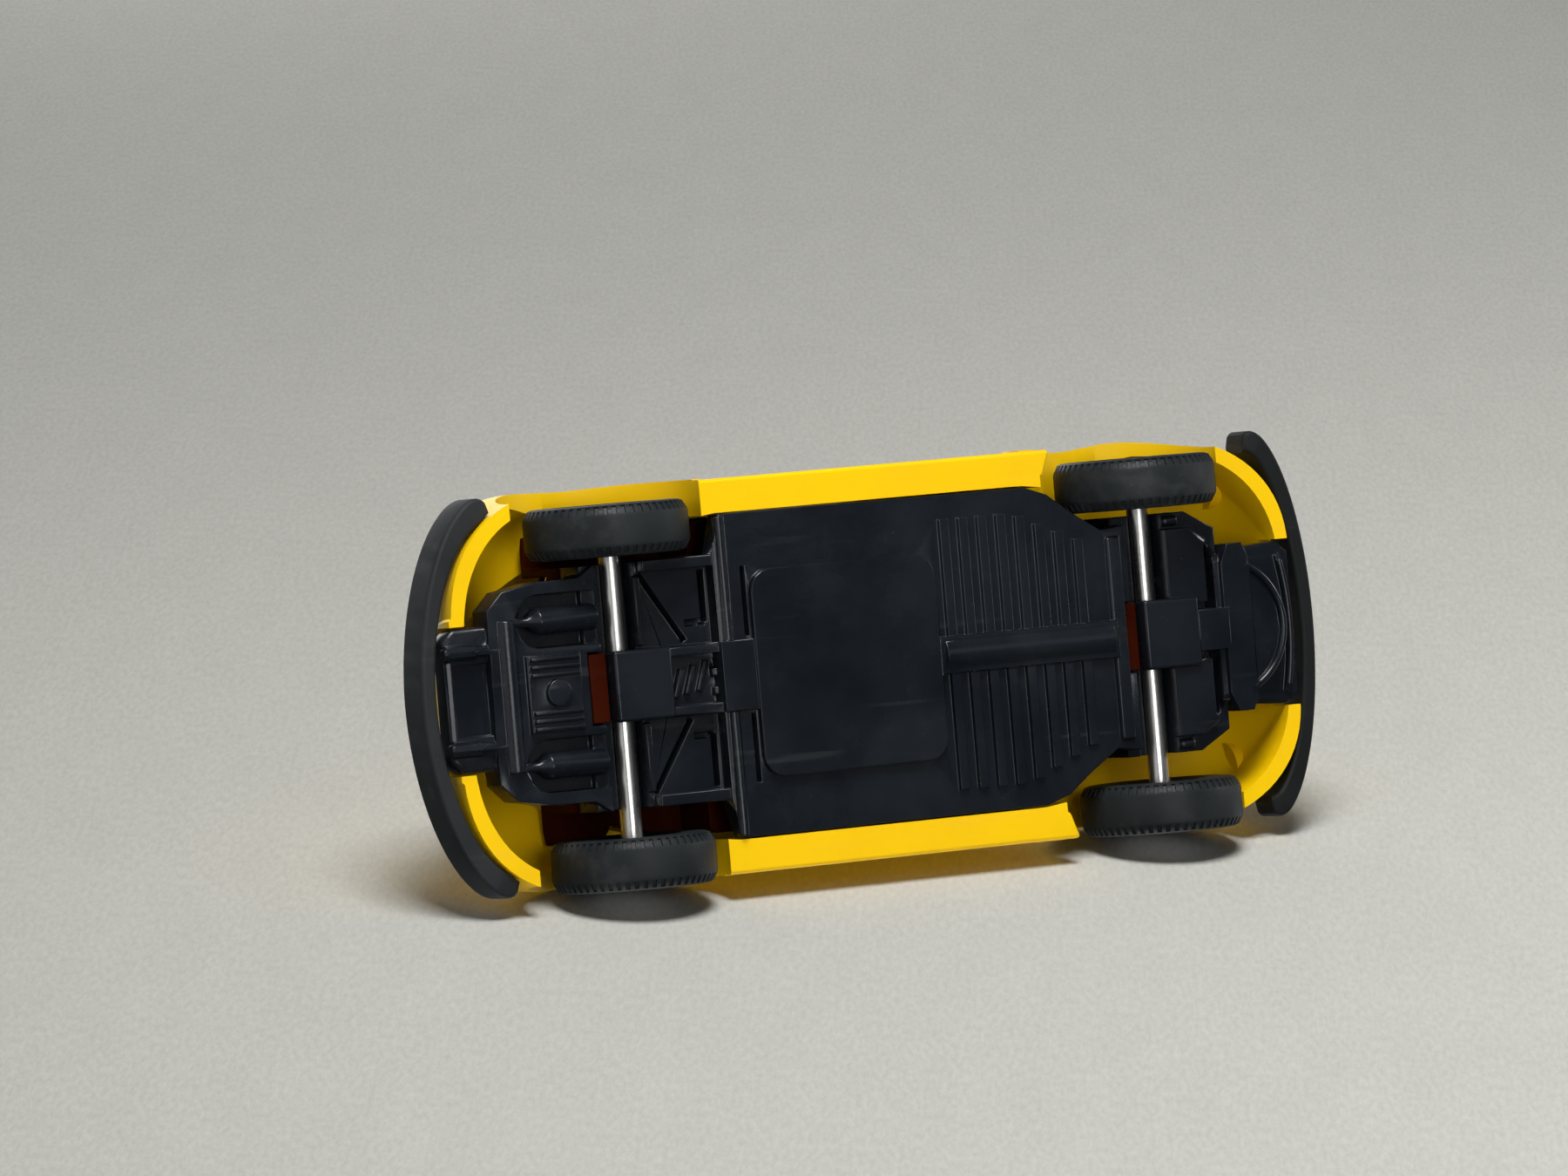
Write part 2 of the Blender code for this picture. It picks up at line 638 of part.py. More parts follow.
def floor_pan():
    """The flat floor with its raised plate, tunnel, stiffening ribs and torsion tubes."""
    tyre_rear = FRONT_X - TYRE_RADIUS
    side = [
        (REAR_X + 4.5, CHASSIS_HALF_AT_WHEELS),
        (PAN_REAR, PAN_HALF_WIDTH),
        (tyre_rear - 3.05, PAN_HALF_WIDTH),
        (tyre_rear - 1.85, PAN_HALF_WIDTH - 0.42),
        (tyre_rear - 0.65, CHASSIS_HALF_AT_WHEELS + 0.45),
        (tyre_rear + 0.85, CHASSIS_HALF_AT_WHEELS - 0.5),
        (FRONT_X - 1.6, CHASSIS_HALF_AT_WHEELS - 0.35),
    ]
    joined = FLOOR_Z + 0.3
    solids = [prism(symmetric(side), FLOOR_Z, FLOOR_TOP)]
    plate = [(PLATE_REAR, PLATE_HALF_WIDTH), (PLATE_FRONT, PLATE_HALF_WIDTH)]
    solids.append(prism(rounded_outline(symmetric(plate), PLATE_CORNER, 4), PLATE_Z, joined))
    tunnel = box((PLATE_FRONT - 0.3, FRONT_X - 2.5), both_ways(TUNNEL_HALF_WIDTH), (PLATE_Z + 0.05, joined))
    solids.append(tunnel)
    for rib in range(RIB_COUNT):
        x = PLATE_FRONT + 0.65 + rib * RIB_PITCH
        outer = min(RIB_HALF_SPAN, RIB_HALF_SPAN - 0.42 * (x - tyre_rear + 3.9))
        reach = (TUNNEL_HALF_WIDTH - 0.2, outer)
        solids += on_both_sides([box((x - RIB_WIDTH / 2, x + RIB_WIDTH / 2), reach, (RIB_Z, joined))])
    tube_z = FLOOR_Z + 0.1
    tube_start = (PAN_REAR, RAIL_INNER + 0.2, tube_z)
    tube = rod(tube_start, (PAN_REAR, PAN_HALF_WIDTH - 0.1, tube_z), TUBE_RADIUS, 12)
    return solids + on_both_sides([tube])


def bar_between(start, end, width, low, high):
    """A straight bar between two (x, y) points."""
    along = Vector(end) - Vector(start)
    across = Vector((-along.y, along.x)).normalized() * width / 2
    corners = [Vector(start) - across, Vector(end) - across, Vector(end) + across, Vector(start) + across]
    return prism([tuple(corner) for corner in corners], low, high)


def slanted_groove(start, end, width, top):
    """A straight groove tool in the underside between two (x, y) points."""
    return bar_between(start, end, width, -REACH, top)


def rear_suspension():
    """The frames round the two suspension boxes, and the cutters of the grooves in them."""
    outer = CHASSIS_HALF_AT_WHEELS
    inner = TONGUE_HALF_WIDTH
    height = (RAIL_Z, FLOOR_TOP)
    border = box((REAR_X + SLOT_FRONT + 0.3, PLATE_REAR + 0.2), (outer - BORDER_WIDTH, outer), height)
    rail = box((REAR_X + TONGUE_FRONT - 0.1, PLATE_REAR + 0.2), (RAIL_INNER, inner), height)
    slot_edge = (REAR_X + SLOT_FRONT, REAR_X + SLOT_FRONT + 0.3)
    kerb = box(slot_edge, (inner + EDGE, outer - 0.7), (BLOCK_Z - 0.3, FLOOR_TOP))
    spine = box((REAR_X + 4.5, PLATE_REAR + 0.2), both_ways(inner), (RIB_Z, FLOOR_TOP))
    plate_gap = PLATE_REAR - 0.12
    box_end = REAR_X + 4.2
    box_foot = inner + 0.95
    grooves = [
        slanted_groove((REAR_X + 1.0, outer - 0.6), (REAR_X + 3.1, inner + EDGE), GROOVE_WIDTH, GROOVE_TOP),
        slanted_groove((box_end, outer - 0.65), (box_end, box_foot), GROOVE_WIDTH, GROOVE_TOP),
        slanted_groove((box_end, box_foot), (box_end - 1.0, box_foot), GROOVE_WIDTH, GROOVE_TOP),
        slanted_groove((plate_gap, outer - 0.65), (plate_gap, inner + EDGE), 0.24, FLOOR_Z + 0.5),
    ]
    return on_both_sides([border, rail, kerb]) + [spine], on_both_sides(grooves)


def front_relief():
    """The bar across the nose of the pan, the spare-wheel well and the apron with its ridge."""
    bar_x = FRONT_X + 3.4
    bar_side = [(bar_x, 3.0), (bar_x + 0.4, 3.9), (bar_x + 1.2, 3.9), (bar_x + 1.5, 3.3)]
    bar = prism(symmetric(bar_side), FLOOR_Z, CHASSIS_TOP_AT_ENDS)
    well_x = FRONT_X + 3.5
    well = rod((well_x, 0, WELL_Z), (well_x, 0, CHASSIS_TOP_AT_ENDS), SPARE_WELL_RADIUS, 32)
    lip_angles = [math.radians(70) * (i / 7 - 1) for i in range(15)]
    apron_z = FENDER_LIP_Z + 0.2
    apron_side = [
        (FRONT_X + 4.0, APRON_HALF_WIDTH - 0.2),
        (FRONT_X + 7.0, APRON_HALF_WIDTH),
        (FRONT_X + 7.65, APRON_HALF_WIDTH - 0.5),
    ]
    apron = prism(symmetric(apron_side), apron_z, CHASSIS_TOP_AT_ENDS)
    ridge_x = FRONT_X + 7.5 - APRON_RIDGE_RADIUS
    half_angle = math.asin((APRON_HALF_WIDTH - 0.6) / APRON_RIDGE_RADIUS)
    angles = [half_angle * (i / 6 - 1) for i in range(13)]
    edges = []
    for radius in (APRON_RIDGE_RADIUS, APRON_RIDGE_RADIUS - 0.28):
        edges.append([(ridge_x + radius * math.cos(a), radius * math.sin(a)) for a in angles])
    ridge = prism(edges[0] + list(reversed(edges[1])), apron_z - 0.2, apron_z + 0.2)
    radius = SPARE_WELL_RADIUS - EDGE
    lip_outer = [(well_x + radius * math.cos(a), radius * math.sin(a)) for a in lip_angles]
    lip_inner = [(x - 0.28, y * 0.95) for x, y in lip_outer]
    lip = prism(lip_outer + list(reversed(lip_inner)), WELL_Z - 0.15, WELL_Z + 0.5)
    return [bar, softened(well, 0.3), apron, ridge, lip]


def front_grooves():
    """Cutters of the two angled gaps beside the front tongue."""
    end_x = FRONT_X + 2.9
    inner = 0.95
    across = slanted_groove((end_x, inner), (end_x, APRON_HALF_WIDTH + 0.1), 0.45, GROOVE_TOP)
    beside = slanted_groove((FRONT_X + 1.6, inner + 0.2), (end_x, inner + 0.2), 0.35, GROOVE_TOP)
    return on_both_sides([across, beside])


def gear_linkage():
    """The uneven relief in the recess ahead of the rear tongue: slanted rods and a stepped end."""
    low = BLOCK_Z - 0.3
    solids = []
    for row in range(3):
        x = REAR_X + TONGUE_FRONT + 0.3 + 0.65 * row
        start = Vector((x, 0.75 - 0.1 * row))
        end = Vector((x + 0.45, -0.5 - 0.15 * row))
        solids.append(bar_between(start, end, 0.28, low + 0.08 * row, BLOCK_Z + 0.3))
    for row, reach in enumerate((0.45, 0.2, 0.5, 0.3)):
        y = 0.6 - 0.42 * row
        end_x = REAR_X + 4.75
        solids.append(box((end_x - reach, end_x), (y - 0.17, y + 0.17), (low, BLOCK_Z + 0.3)))
    return solids


def chassis_plate():
    """Floor, engine and exhaust, axle blocks, and the spring tongues under the axles, in one moulding."""
    half = CHASSIS_HALF_AT_WHEELS
    rear_block, rear_tools = axle_block(REAR_X, PEG_REACH, 4.6, half)
    front_block, front_tools = axle_block(FRONT_X, PEG_REACH, 3.6, half)
    corner = slanted_groove((FRONT_X + 1.55, half + 1.2), (FRONT_X + 5.2, half - 0.85), 1.6, REACH)
    front_block = cut(front_block, on_both_sides([corner]))
    panel_x = FRONT_X + SLOT_FRONT
    panel_side = [(panel_x, half - 0.75), (FRONT_X + 1.9, half - 0.75), (FRONT_X + 2.8, half - 1.3)]
    panel = prism(symmetric(panel_side), FLOOR_Z + 0.2, FLOOR_TOP)
    stop_ends = (panel_x + EDGE, FRONT_X + 1.6)
    stop = box(stop_ends, (half - 0.6, half - EDGE), (FLOOR_Z + 0.45, FLOOR_TOP))
    bar = box((FRONT_X - 2.75, FRONT_X - 1.95), both_ways(half - 0.85), (RIB_Z, FLOOR_TOP))
    frames, suspension_grooves = rear_suspension()
    stops = on_both_sides([softened(stop, EDGE)])
    solids = floor_pan() + [rear_block, front_block, panel, softened(bar, EDGE)] + stops
    chassis = united(solids + frames + engine_relief() + front_relief())
    holes = []
    for axle_x in (REAR_X, FRONT_X):
        opening = (axle_x - PEG_REACH, axle_x - TONGUE_REAR)
        holes.append(box(opening, both_ways(PEG_HALF_WIDTH), both_ways(REACH)))
    chassis = cut(chassis, rear_tools + front_tools + holes + suspension_grooves + front_grooves())
    tongues = []
    for axle_x in (REAR_X, FRONT_X):
        reach = (axle_x - TONGUE_REAR, axle_x + TONGUE_FRONT)
        tongues.append(softened(box(reach, both_ways(TONGUE_HALF_WIDTH), (TONGUE_Z, TONGUE_TOP)), EDGE))
    bridge = box((FRONT_X + TONGUE_FRONT - 0.2, FRONT_X + 3.6), both_ways(0.95), (TONGUE_Z + 0.05, FLOOR_TOP))
    return united([chassis] + tongues + [bridge] + gear_linkage())


def bumper(face_x, sweep, plan, end_thickness):
    """A bar that follows a superellipse in plan. Its ends are lower and deeper, and lie close to the body."""
    forward = math.copysign(1.0, face_x)
    rings = []
    for station in range(BUMPER_STATIONS + 1):
        angle = math.pi / 2 * (2 * station / BUMPER_STATIONS - 1)
        middle = math.cos(angle)
        y = BUMPER_HALF_WIDTH * math.copysign(abs(math.sin(angle)) ** (2 / plan), angle)
        x = face_x - forward * sweep * (1 - middle)
        outward = Vector((forward * middle * BUMPER_HALF_WIDTH, math.sin(angle) * sweep * 1.6)).normalized()
        thickness = end_thickness + (BUMPER_THICKNESS - end_thickness) * middle
        height = BUMPER_HEIGHT * (0.75 + 0.25 * min(1.0, 3 * middle))
        low = BUMPER_Z + (BUMPER_HEIGHT - height) / 2
        section = [(0, BUMPER_CHAMFER), (0, height - BUMPER_CHAMFER), (BUMPER_CHAMFER, height)]
        section += [(thickness - BUMPER_CHAMFER, height), (thickness, height - BUMPER_CHAMFER)]
        section += [(thickness, BUMPER_CHAMFER), (thickness - BUMPER_CHAMFER, 0), (BUMPER_CHAMFER, 0)]
        rings.append([(x - outward.x * depth, y - outward.y * depth, low + up) for depth, up in section])
    fenders = [front_fender(-FIT), rear_fender(-FIT)]
    return cut(loft(rings), [hull(-FIT, -1.0)] + on_both_sides(fenders))


def window_glazing():
    """A clear dome behind the cabin's walls, with panes that stand in the window openings."""
    panes = []
    for tool in window_tools(FIT):
        panes.append(common(hull(PANE_INSET), tool))
    cabin = box((REAR_X + 0.5, COWL_X + 0.2), both_ways(REACH), (BELT_Z - 0.6, REACH))
    dome = common(hull(WALL + FIT), cabin)
    return cut(united([dome] + panes), [hull(WALL + FIT + GLAZING_WALL, -1.0)])


def seat(x, half_width, back_top):
    cushion = box((x - 2.4, x + 2.6), (-half_width, half_width), (TUB_Z + 0.4, TUB_Z + 2.1))
    back = prism([(0, -half_width), (1.3, -half_width), (1.3, half_width), (0, half_width)], 0.0, back_top)
    bmesh.ops.rotate(back, verts=back.verts, matrix=Matrix.Rotation(math.radians(-14), 3, "Y"))
    moved(back, (x - 2.3, 0, TUB_Z + 0.9))
    return [softened(cushion, 0.5), softened(back, 0.45)]


def wheelhouse():
    """The left inner rear wheel arch of the cabin: wall, front and a shelf over the tyre."""
    start = REAR_X - WHEELHOUSE_REAR
    end = REAR_FENDER_FRONT + 0.5
    wall_y = CHASSIS_HALF_AT_WHEELS - WHEELHOUSE_WALL
    shelf_z = TYRE_DIAMETER + WHEELHOUSE_GAP
    top = shelf_z + WHEELHOUSE_WALL
    wall = box((start, end), (wall_y, CHASSIS_HALF_AT_WHEELS), (TUB_Z, top))
    shelf = box((start, end), (wall_y, WHEELHOUSE_HALF_WIDTH), (shelf_z, top))
    front = box((end - WHEELHOUSE_WALL, end), (wall_y, WHEELHOUSE_HALF_WIDTH), (TUB_Z, top))
    room = WALL + CABIN_CLEARANCE / 2
    space = united([hull(room, -1.0), rear_fender(room)])
    return common(united([wall, shelf, front]), space)


def pegs():
    """Two blocks that come down through the chassis beside the axles."""
    blocks = []
    for axle_x in (REAR_X, FRONT_X):
        along = (axle_x - PEG_REACH + FIT, axle_x - TONGUE_REAR - FIT)
        across = both_ways(PEG_HALF_WIDTH - FIT)
        blocks.append(box(along, across, (ENGINE_Z + FIT, TUB_Z + TUB_FLOOR / 2)))
    return blocks


def interior_tub():
    """Floor, pegs, rear wheel arches, two front seats, rear bench and dashboard in one moulding."""
    room = WALL + CABIN_CLEARANCE
    wide_end = (REAR_FENDER_FRONT + 0.4, FRONT_FENDER_REAR - 0.4)
    wide = common(hull(room, 0.0), box(wide_end, both_ways(REACH), (TUB_Z, TUB_Z + TUB_FLOOR + 0.05)))
    along = (REAR_X - WHEELHOUSE_REAR, FRONT_X - 0.9)
    narrow = box(along, both_ways(CHASSIS_HALF_AT_WHEELS), (TUB_Z, TUB_Z + TUB_FLOOR))
    back_height = HEIGHT - TUB_Z - 5.6
    seats = []
    for y in (-SEAT_Y, SEAT_Y):
        seats += [moved(part, (0, y, 0)) for part in seat(COWL_X - 6.2, SEAT_HALF_WIDTH, back_height)]
    bench = seat(REAR_FENDER_FRONT + 2.0, CHASSIS_HALF_AT_WHEELS - 0.2, back_height - 1.4)
    cowl = box((COWL_X - 1.2, COWL_X + 0.6), both_ways(REACH), (TUB_Z + 0.4, BELT_Z - 0.7))
    dashboard = common(hull(room, 0.0), cowl)
    return united([wide, narrow] + on_both_sides([wheelhouse()]) + pegs() + seats + bench + [dashboard])


def steering_wheel():
    """A thin rim with two spokes, on a column that ends at the dashboard."""
    grip = 0.17
    turns = [math.tau * i / 6 for i in range(6)]
    rim_profile = [(grip * math.cos(a), STEERING_RADIUS + grip * math.sin(a)) for a in turns]
    spokes = box((-0.1, 0.1), both_ways(STEERING_RADIUS), (-0.22, 0.22))
    column = rod((-0.15, 0, 0), (1.75, 0, 0), 0.24, 10)
    hub = rod((-0.25, 0, 0), (0.2, 0, 0), 0.5, 12)
    wheel = united([turned(rim_profile, (1, 0, 0), 18), spokes, hub, column])
    bmesh.ops.rotate(wheel, verts=wheel.verts, matrix=Matrix.Rotation(math.radians(22), 3, "Y"))
    return moved(wheel, (COWL_X - 3.0, SEAT_Y, BELT_Z - 1.3))


def lamp_lens(radius, face_x, y, z, forward):
    """A domed lens with a shank in its bore and a flange over the lamp's rim."""
    shank = radius - FIT
    flange = radius + LAMP_RIM - FIT
    rim = FIT + 0.15
    dome = [(rim + 0.3 * math.cos(a), flange * 0.9 * math.sin(a)) for a in (1.4, 1.0, 0.5, 0.0)]
    profile = [(-LENS_DEPTH, 0), (-LENS_DEPTH, shank), (FIT, shank), (FIT, flange), (rim, flange)]
    lens = turned(profile + dome, (forward, 0, 0), ROUND_SEGMENTS)
    return moved(lens, (face_x, y, z))


def tyre():
    """A wheel turned about +Y, with its web towards the axle and a recess for the rim on its outer side."""
    half = TYRE_WIDTH / 2
    seat_radius = RIM_DIAMETER / 2 + FIT
    bore = AXLE_RADIUS + RUNNING_FIT
    wall_radius = TYRE_RADIUS - 0.5
    shoulder_radius = TYRE_RADIUS - 0.17
    profile = [
        (0.22 - half, bore),
        (0.22 - half, seat_radius - 0.4),
        (-half, seat_radius),
        (-half, wall_radius),
        (0.12 - half, shoulder_radius),
        (0.42 - half, TYRE_RADIUS),
        (half - 0.42, TYRE_RADIUS),
        (half - 0.12, shoulder_radius),
        (half, wall_radius),
        (half, seat_radius + 0.25),
        (half - 0.2, seat_radius),
        (WEB_FACE, seat_radius),
        (WEB_FACE, bore),
    ]
    return turned(profile, (0, 1, 0), WHEEL_SEGMENTS)


def rim():
    """The hub insert: a dished disc with a domed cap."""
    half = TYRE_WIDTH / 2
    radius = RIM_DIAMETER / 2
    profile = [
        (WEB_FACE + FIT, 0),
        (WEB_FACE + FIT, radius),
        (half - 0.25, radius),
        (half - 0.1, radius - 0.12),
        (half - 0.22, radius - 0.3),
        (half - 0.55, radius - 0.5),
        (half - 0.6, radius / 2),
        (half - 0.3, radius / 2 - 0.15),
        (half - 0.12, radius / 2 - 0.5),
        (half - 0.06, 0),
    ]
    return turned(profile, (0, 1, 0), WHEEL_SEGMENTS)


def wheel_set(end, axle_x, steel, rubber, silver):
    """An axle pin with a tyre and a rim on each end, slid to the left as far as its end float lets it."""
    centre = bpy.data.objects.new(end + "_axle_centre", None)
    centre.location = Vector((axle_x, END_FLOAT / 2, AXLE_Z)) * METRES
    bpy.context.scene.collection.objects.link(centre)
    half = TRACK / 2 - AXLE_END_INSET
    neck = AXLE_RADIUS - AXLE_CHAMFER
    pin = [(-half, 0), (-half, neck), (AXLE_CHAMFER - half, AXLE_RADIUS)]
    pin += [(half - AXLE_CHAMFER, AXLE_RADIUS), (half, neck), (half, 0)]
    piece(end + "_axle", turned(pin, (0, 1, 0), ROUND_SEGMENTS), steel, centre)
    for side, sign in (("left", 1), ("right", -1)):
        for name, make, material in (("tyre", tyre, rubber), ("rim", rim, silver)):
            solid = make()
            if sign < 0:
                solid = mirrored(solid)
            piece(f"{end}_{side}_{name}", moved(solid, (0, sign * TRACK / 2, 0)), material, centre)


def main():
    for old in list(bpy.data.objects):
        bpy.data.objects.remove(old)
    yellow = plastic("body_yellow", (0.98, 0.63, 0.005), 0.25)
    black = plastic("chassis_black", (0.012, 0.014, 0.02), 0.4)
    grey = plastic("bumper_grey", (0.03, 0.035, 0.036), 0.6)
    brown = plastic("interior_brown", (0.12, 0.02, 0.008), 0.45)
    clear = plastic("glazing_clear", (0.9, 0.95, 0.95), 0.05, alpha=0.3)
    steel = plastic("axle_steel", (0.75, 0.75, 0.76), 0.2, metallic=1.0)
    rubber = plastic("tyre_black", (0.045, 0.047, 0.05), 0.7)
    silver = plastic("rim_silver", (0.6, 0.6, 0.62), 0.3, metallic=0.8)
    red = plastic("lamp_red", (0.5, 0.01, 0.008), 0.15)
    lens = plastic("lens_clear", (0.85, 0.87, 0.88), 0.08)

    piece("body_shell", body_shell(), yellow)
    piece("chassis_plate", chassis_plate(), black)
    front = bumper(FRONT_X + FRONT_OVERHANG, FRONT_BUMPER_SWEEP, FRONT_BUMPER_PLAN, FRONT_BUMPER_END)
    piece("front_bumper", front, grey)
    rear = bumper(REAR_X - REAR_OVERHANG, REAR_BUMPER_SWEEP, REAR_BUMPER_PLAN, REAR_BUMPER_END)
    piece("rear_bumper", rear, grey)
    piece("interior_tub", interior_tub(), brown)
    piece("window_glazing", window_glazing(), clear)
    piece("steering_wheel", steering_wheel(), black)
    for side, sign in (("left", 1), ("right", -1)):
        headlamp = lamp_lens(HEADLAMP_RADIUS, HEADLAMP_X, sign * HEADLAMP_Y, HEADLAMP_Z, 1)
        piece(f"headlight_lens_{side}", headlamp, lens)
        tail_lamp = lamp_lens(TAIL_LAMP_RADIUS, TAIL_LAMP_X, sign * TAIL_LAMP_Y, TAIL_LAMP_Z, -1)
        piece(f"tail_lamp_{side}", tail_lamp, red)
    wheel_set("front", FRONT_X, steel, rubber, silver)
    wheel_set("rear", REAR_X, steel, rubber, silver)


main()
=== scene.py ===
# %% [markdown]
# # A small model car, seen from below
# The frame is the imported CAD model: a yellow body shell on a blue-black chassis plate, two bumpers, two steel
# axles with four wheels, and what a cabin holds. Its shapes are coarse, because they are made for physics.
# This lesson rebuilds them finely in the same places and gives each one its finish. Sizes in the code are in
# millimetres, and become metres where a mesh is made.

# %% Load the frame
import math

import bmesh
import bpy
from mathutils import Matrix, Vector


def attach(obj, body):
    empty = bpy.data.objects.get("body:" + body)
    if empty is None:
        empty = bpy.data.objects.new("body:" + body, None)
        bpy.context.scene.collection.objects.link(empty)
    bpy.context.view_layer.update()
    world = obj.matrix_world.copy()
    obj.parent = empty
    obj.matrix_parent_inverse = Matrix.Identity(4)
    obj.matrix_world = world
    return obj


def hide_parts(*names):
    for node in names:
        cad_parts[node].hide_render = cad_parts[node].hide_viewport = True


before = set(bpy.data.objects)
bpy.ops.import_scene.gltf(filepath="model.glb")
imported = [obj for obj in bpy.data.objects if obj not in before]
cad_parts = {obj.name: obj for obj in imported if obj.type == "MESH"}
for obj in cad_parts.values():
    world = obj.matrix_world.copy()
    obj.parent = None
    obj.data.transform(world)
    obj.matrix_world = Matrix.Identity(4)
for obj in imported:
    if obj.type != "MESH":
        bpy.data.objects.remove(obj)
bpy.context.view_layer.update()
scene = bpy.context.scene
MM = 0.001
print("nodes:", len(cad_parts))

# %% [markdown]
# ## The camera
# The car lies on its left side with its underside to the camera, and the frame stands upright, so the camera
# goes where the photographer was, seen from the car. Its direction, roll and scale were fitted to the axles,
# the bumpers and the running boards. A long lens keeps the far wheel as large as the near one.

# %% Camera
turn, lift, roll = (math.radians(angle) for angle in (29.6, 1.4, -4.8))
photo_width, photo_height = 1800, 1350
pixels_per_mm = 25.3
distance = 480.0
middle = Vector((0.7, 0.45, -0.05))
middle_pixel = (1066.3, 767.1)

to_camera = Vector((-math.sin(turn) * math.cos(lift), -math.sin(lift), -math.cos(turn) * math.cos(lift)))
level = Vector((0, -1, 0)).cross(to_camera).normalized()
upright = to_camera.cross(level)
across = math.cos(roll) * level + math.sin(roll) * upright
upwards = -math.sin(roll) * level + math.cos(roll) * upright
aim_across = (photo_width / 2 - middle_pixel[0]) / pixels_per_mm
aim_upwards = (middle_pixel[1] - photo_height / 2) / pixels_per_mm
aim = middle + across * aim_across + upwards * aim_upwards

camera_place = middle + to_camera * distance
back = (camera_place - aim).normalized()
right = upwards.cross(back).normalized()
camera = bpy.data.objects.new("camera", bpy.data.cameras.new("camera"))
camera.data.lens = pixels_per_mm * distance / photo_width * camera.data.sensor_width
camera.data.clip_start = 0.01
axes = Matrix((right, back.cross(right), back)).transposed().to_4x4()
camera.matrix_world = Matrix.Translation(camera_place * MM) @ axes
scene.collection.objects.link(camera)
scene.camera = camera
print("lens:", round(camera.data.lens, 1), "mm")

# %% [markdown]
# ## The floor
# The floor touches the car's left side, at a fender and at the edge of the roof, so it leans in this frame.
# It is one large flat sheet, a hair below the lowest point of the car along its own normal.

# %% Floor sheet
FLOOR_REACH, FLOOR_GAP = 1.2, 0.00002
floor_up = Vector((0, -0.97, -0.243)).normalized()
cad_meshes = [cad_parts[name].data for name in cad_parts]
lowest = min(floor_up.dot(vertex.co) for mesh in cad_meshes for vertex in mesh.vertices)
lean = Vector((0, 0, 1)).rotation_difference(floor_up).to_matrix()
sheet = bmesh.new()
bmesh.ops.create_grid(sheet, x_segments=1, y_segments=1, size=FLOOR_REACH)
bmesh.ops.rotate(sheet, verts=sheet.verts, matrix=lean)
bmesh.ops.translate(sheet, verts=sheet.verts, vec=floor_up * (lowest - FLOOR_GAP))
floor_mesh = bpy.data.meshes.new("floor")
sheet.to_mesh(floor_mesh)
floor = bpy.data.objects.new("floor", floor_mesh)
scene.collection.objects.link(floor)
floor.visible_glossy = False
print("floor:", round(lowest / MM, 2), "mm below the origin, along its own normal")

# %% [markdown]
# It is plain pale paper with faint smudges, so two noises give clouds and fibres. Its colour is painted
# a little brighter to the upper right, which is painted light. Seen from behind it lets the camera through,
# and it never blocks a lamp, so the other views show a lit car on the same pale ground.

# %% Node helpers
NODES_IN_LINE = 6


def node(tree, kind, **settings):
    """Adds a shader node. A setting is a property of it, or the name of an input with its spaces as _."""
    line, column = divmod(len(tree.nodes), NODES_IN_LINE)
    made = tree.nodes.new(kind if kind.startswith("NodeGroup") else "ShaderNode" + kind)
    made.location = (250 * column, -300 * line)
    for name, value in settings.items():
        if hasattr(made, name):
            setattr(made, name, value)
        else:
            made.inputs[name.replace("_", " ")].default_value = value
    return made


def linked(tree, *links):
    """Makes links. Each is a node and its output, or only a socket, and then a node and its input."""
    for *source, target, label in links:
        start = source[0].outputs[source[1]] if len(source) == 2 else source[0]
        tree.links.new(start, target.inputs[label])


def ramp(tree, *stops):
    """A colour ramp with (position, colour) stops, where a plain number is a grey."""
    made = node(tree, "ValToRGB")
    elements = made.color_ramp.elements
    while len(elements) < len(stops):
        elements.new(0.5)
    for element, (position, colour) in zip(elements, stops):
        element.position = position
        element.color = (colour,) * 3 + (1,) if isinstance(colour, (int, float)) else (*colour, 1)
    return made


# %% Floor paper
FLOOR_SHADE = (0.513, 0.509, 0.47)
# Painted light: the floor's colour is made brighter towards the upper right, per pixel of the picture.
painted_light_per_pixel = across * 0.12 / 800 + upwards * 0.05 / 525
paper = bpy.data.materials.new("pale_paper")
paper.use_nodes = True
tree = paper.node_tree
tree.nodes.clear()
place = node(tree, "TexCoord")
flattened = node(tree, "CombineXYZ")
floor_across = floor_up.cross(to_camera).normalized()
for axis, direction in enumerate((floor_across, floor_across.cross(floor_up) * floor_up.dot(to_camera))):
    share = node(tree, "VectorMath", operation="DOT_PRODUCT")
    share.inputs[1].default_value = direction
    linked(tree, (place, "Object", share, 0), (share, "Value", flattened, axis))
clouds = node(tree, "TexNoise", Scale=420.0, Detail=6.0, Roughness=0.6)
fibres = node(tree, "TexNoise", Scale=4200.0, Detail=4.0, Roughness=0.65)
tint = ramp(tree, (0.3, FLOOR_SHADE), (0.7, [value * 1.04 for value in FLOOR_SHADE]))
fleck = ramp(tree, (0.3, 0.9), (0.7, 1.07))
mottled = node(tree, "Mix", data_type="RGBA", blend_type="MULTIPLY")
mottled.inputs["Factor"].default_value = 1.0
# Painted light: this node brightens the floor's colour towards the upper right.
painted_light_gradient = node(tree, "VectorMath", operation="DOT_PRODUCT")
painted_light_gradient.inputs[1].default_value = painted_light_per_pixel * pixels_per_mm / MM
level_off = node(tree, "Math", operation="ADD")
level_off.inputs[1].default_value = 1.08
clipped = node(tree, "Clamp", Min=0.7, Max=1.45)
graded = node(tree, "VectorMath", operation="SCALE")
matt = node(tree, "BsdfDiffuse")
clear = node(tree, "BsdfTransparent")
sides = node(tree, "NewGeometry")
rays = node(tree, "LightPath")
unseen = node(tree, "Math", operation="MAXIMUM")
blend = node(tree, "MixShader")
output = node(tree, "OutputMaterial")
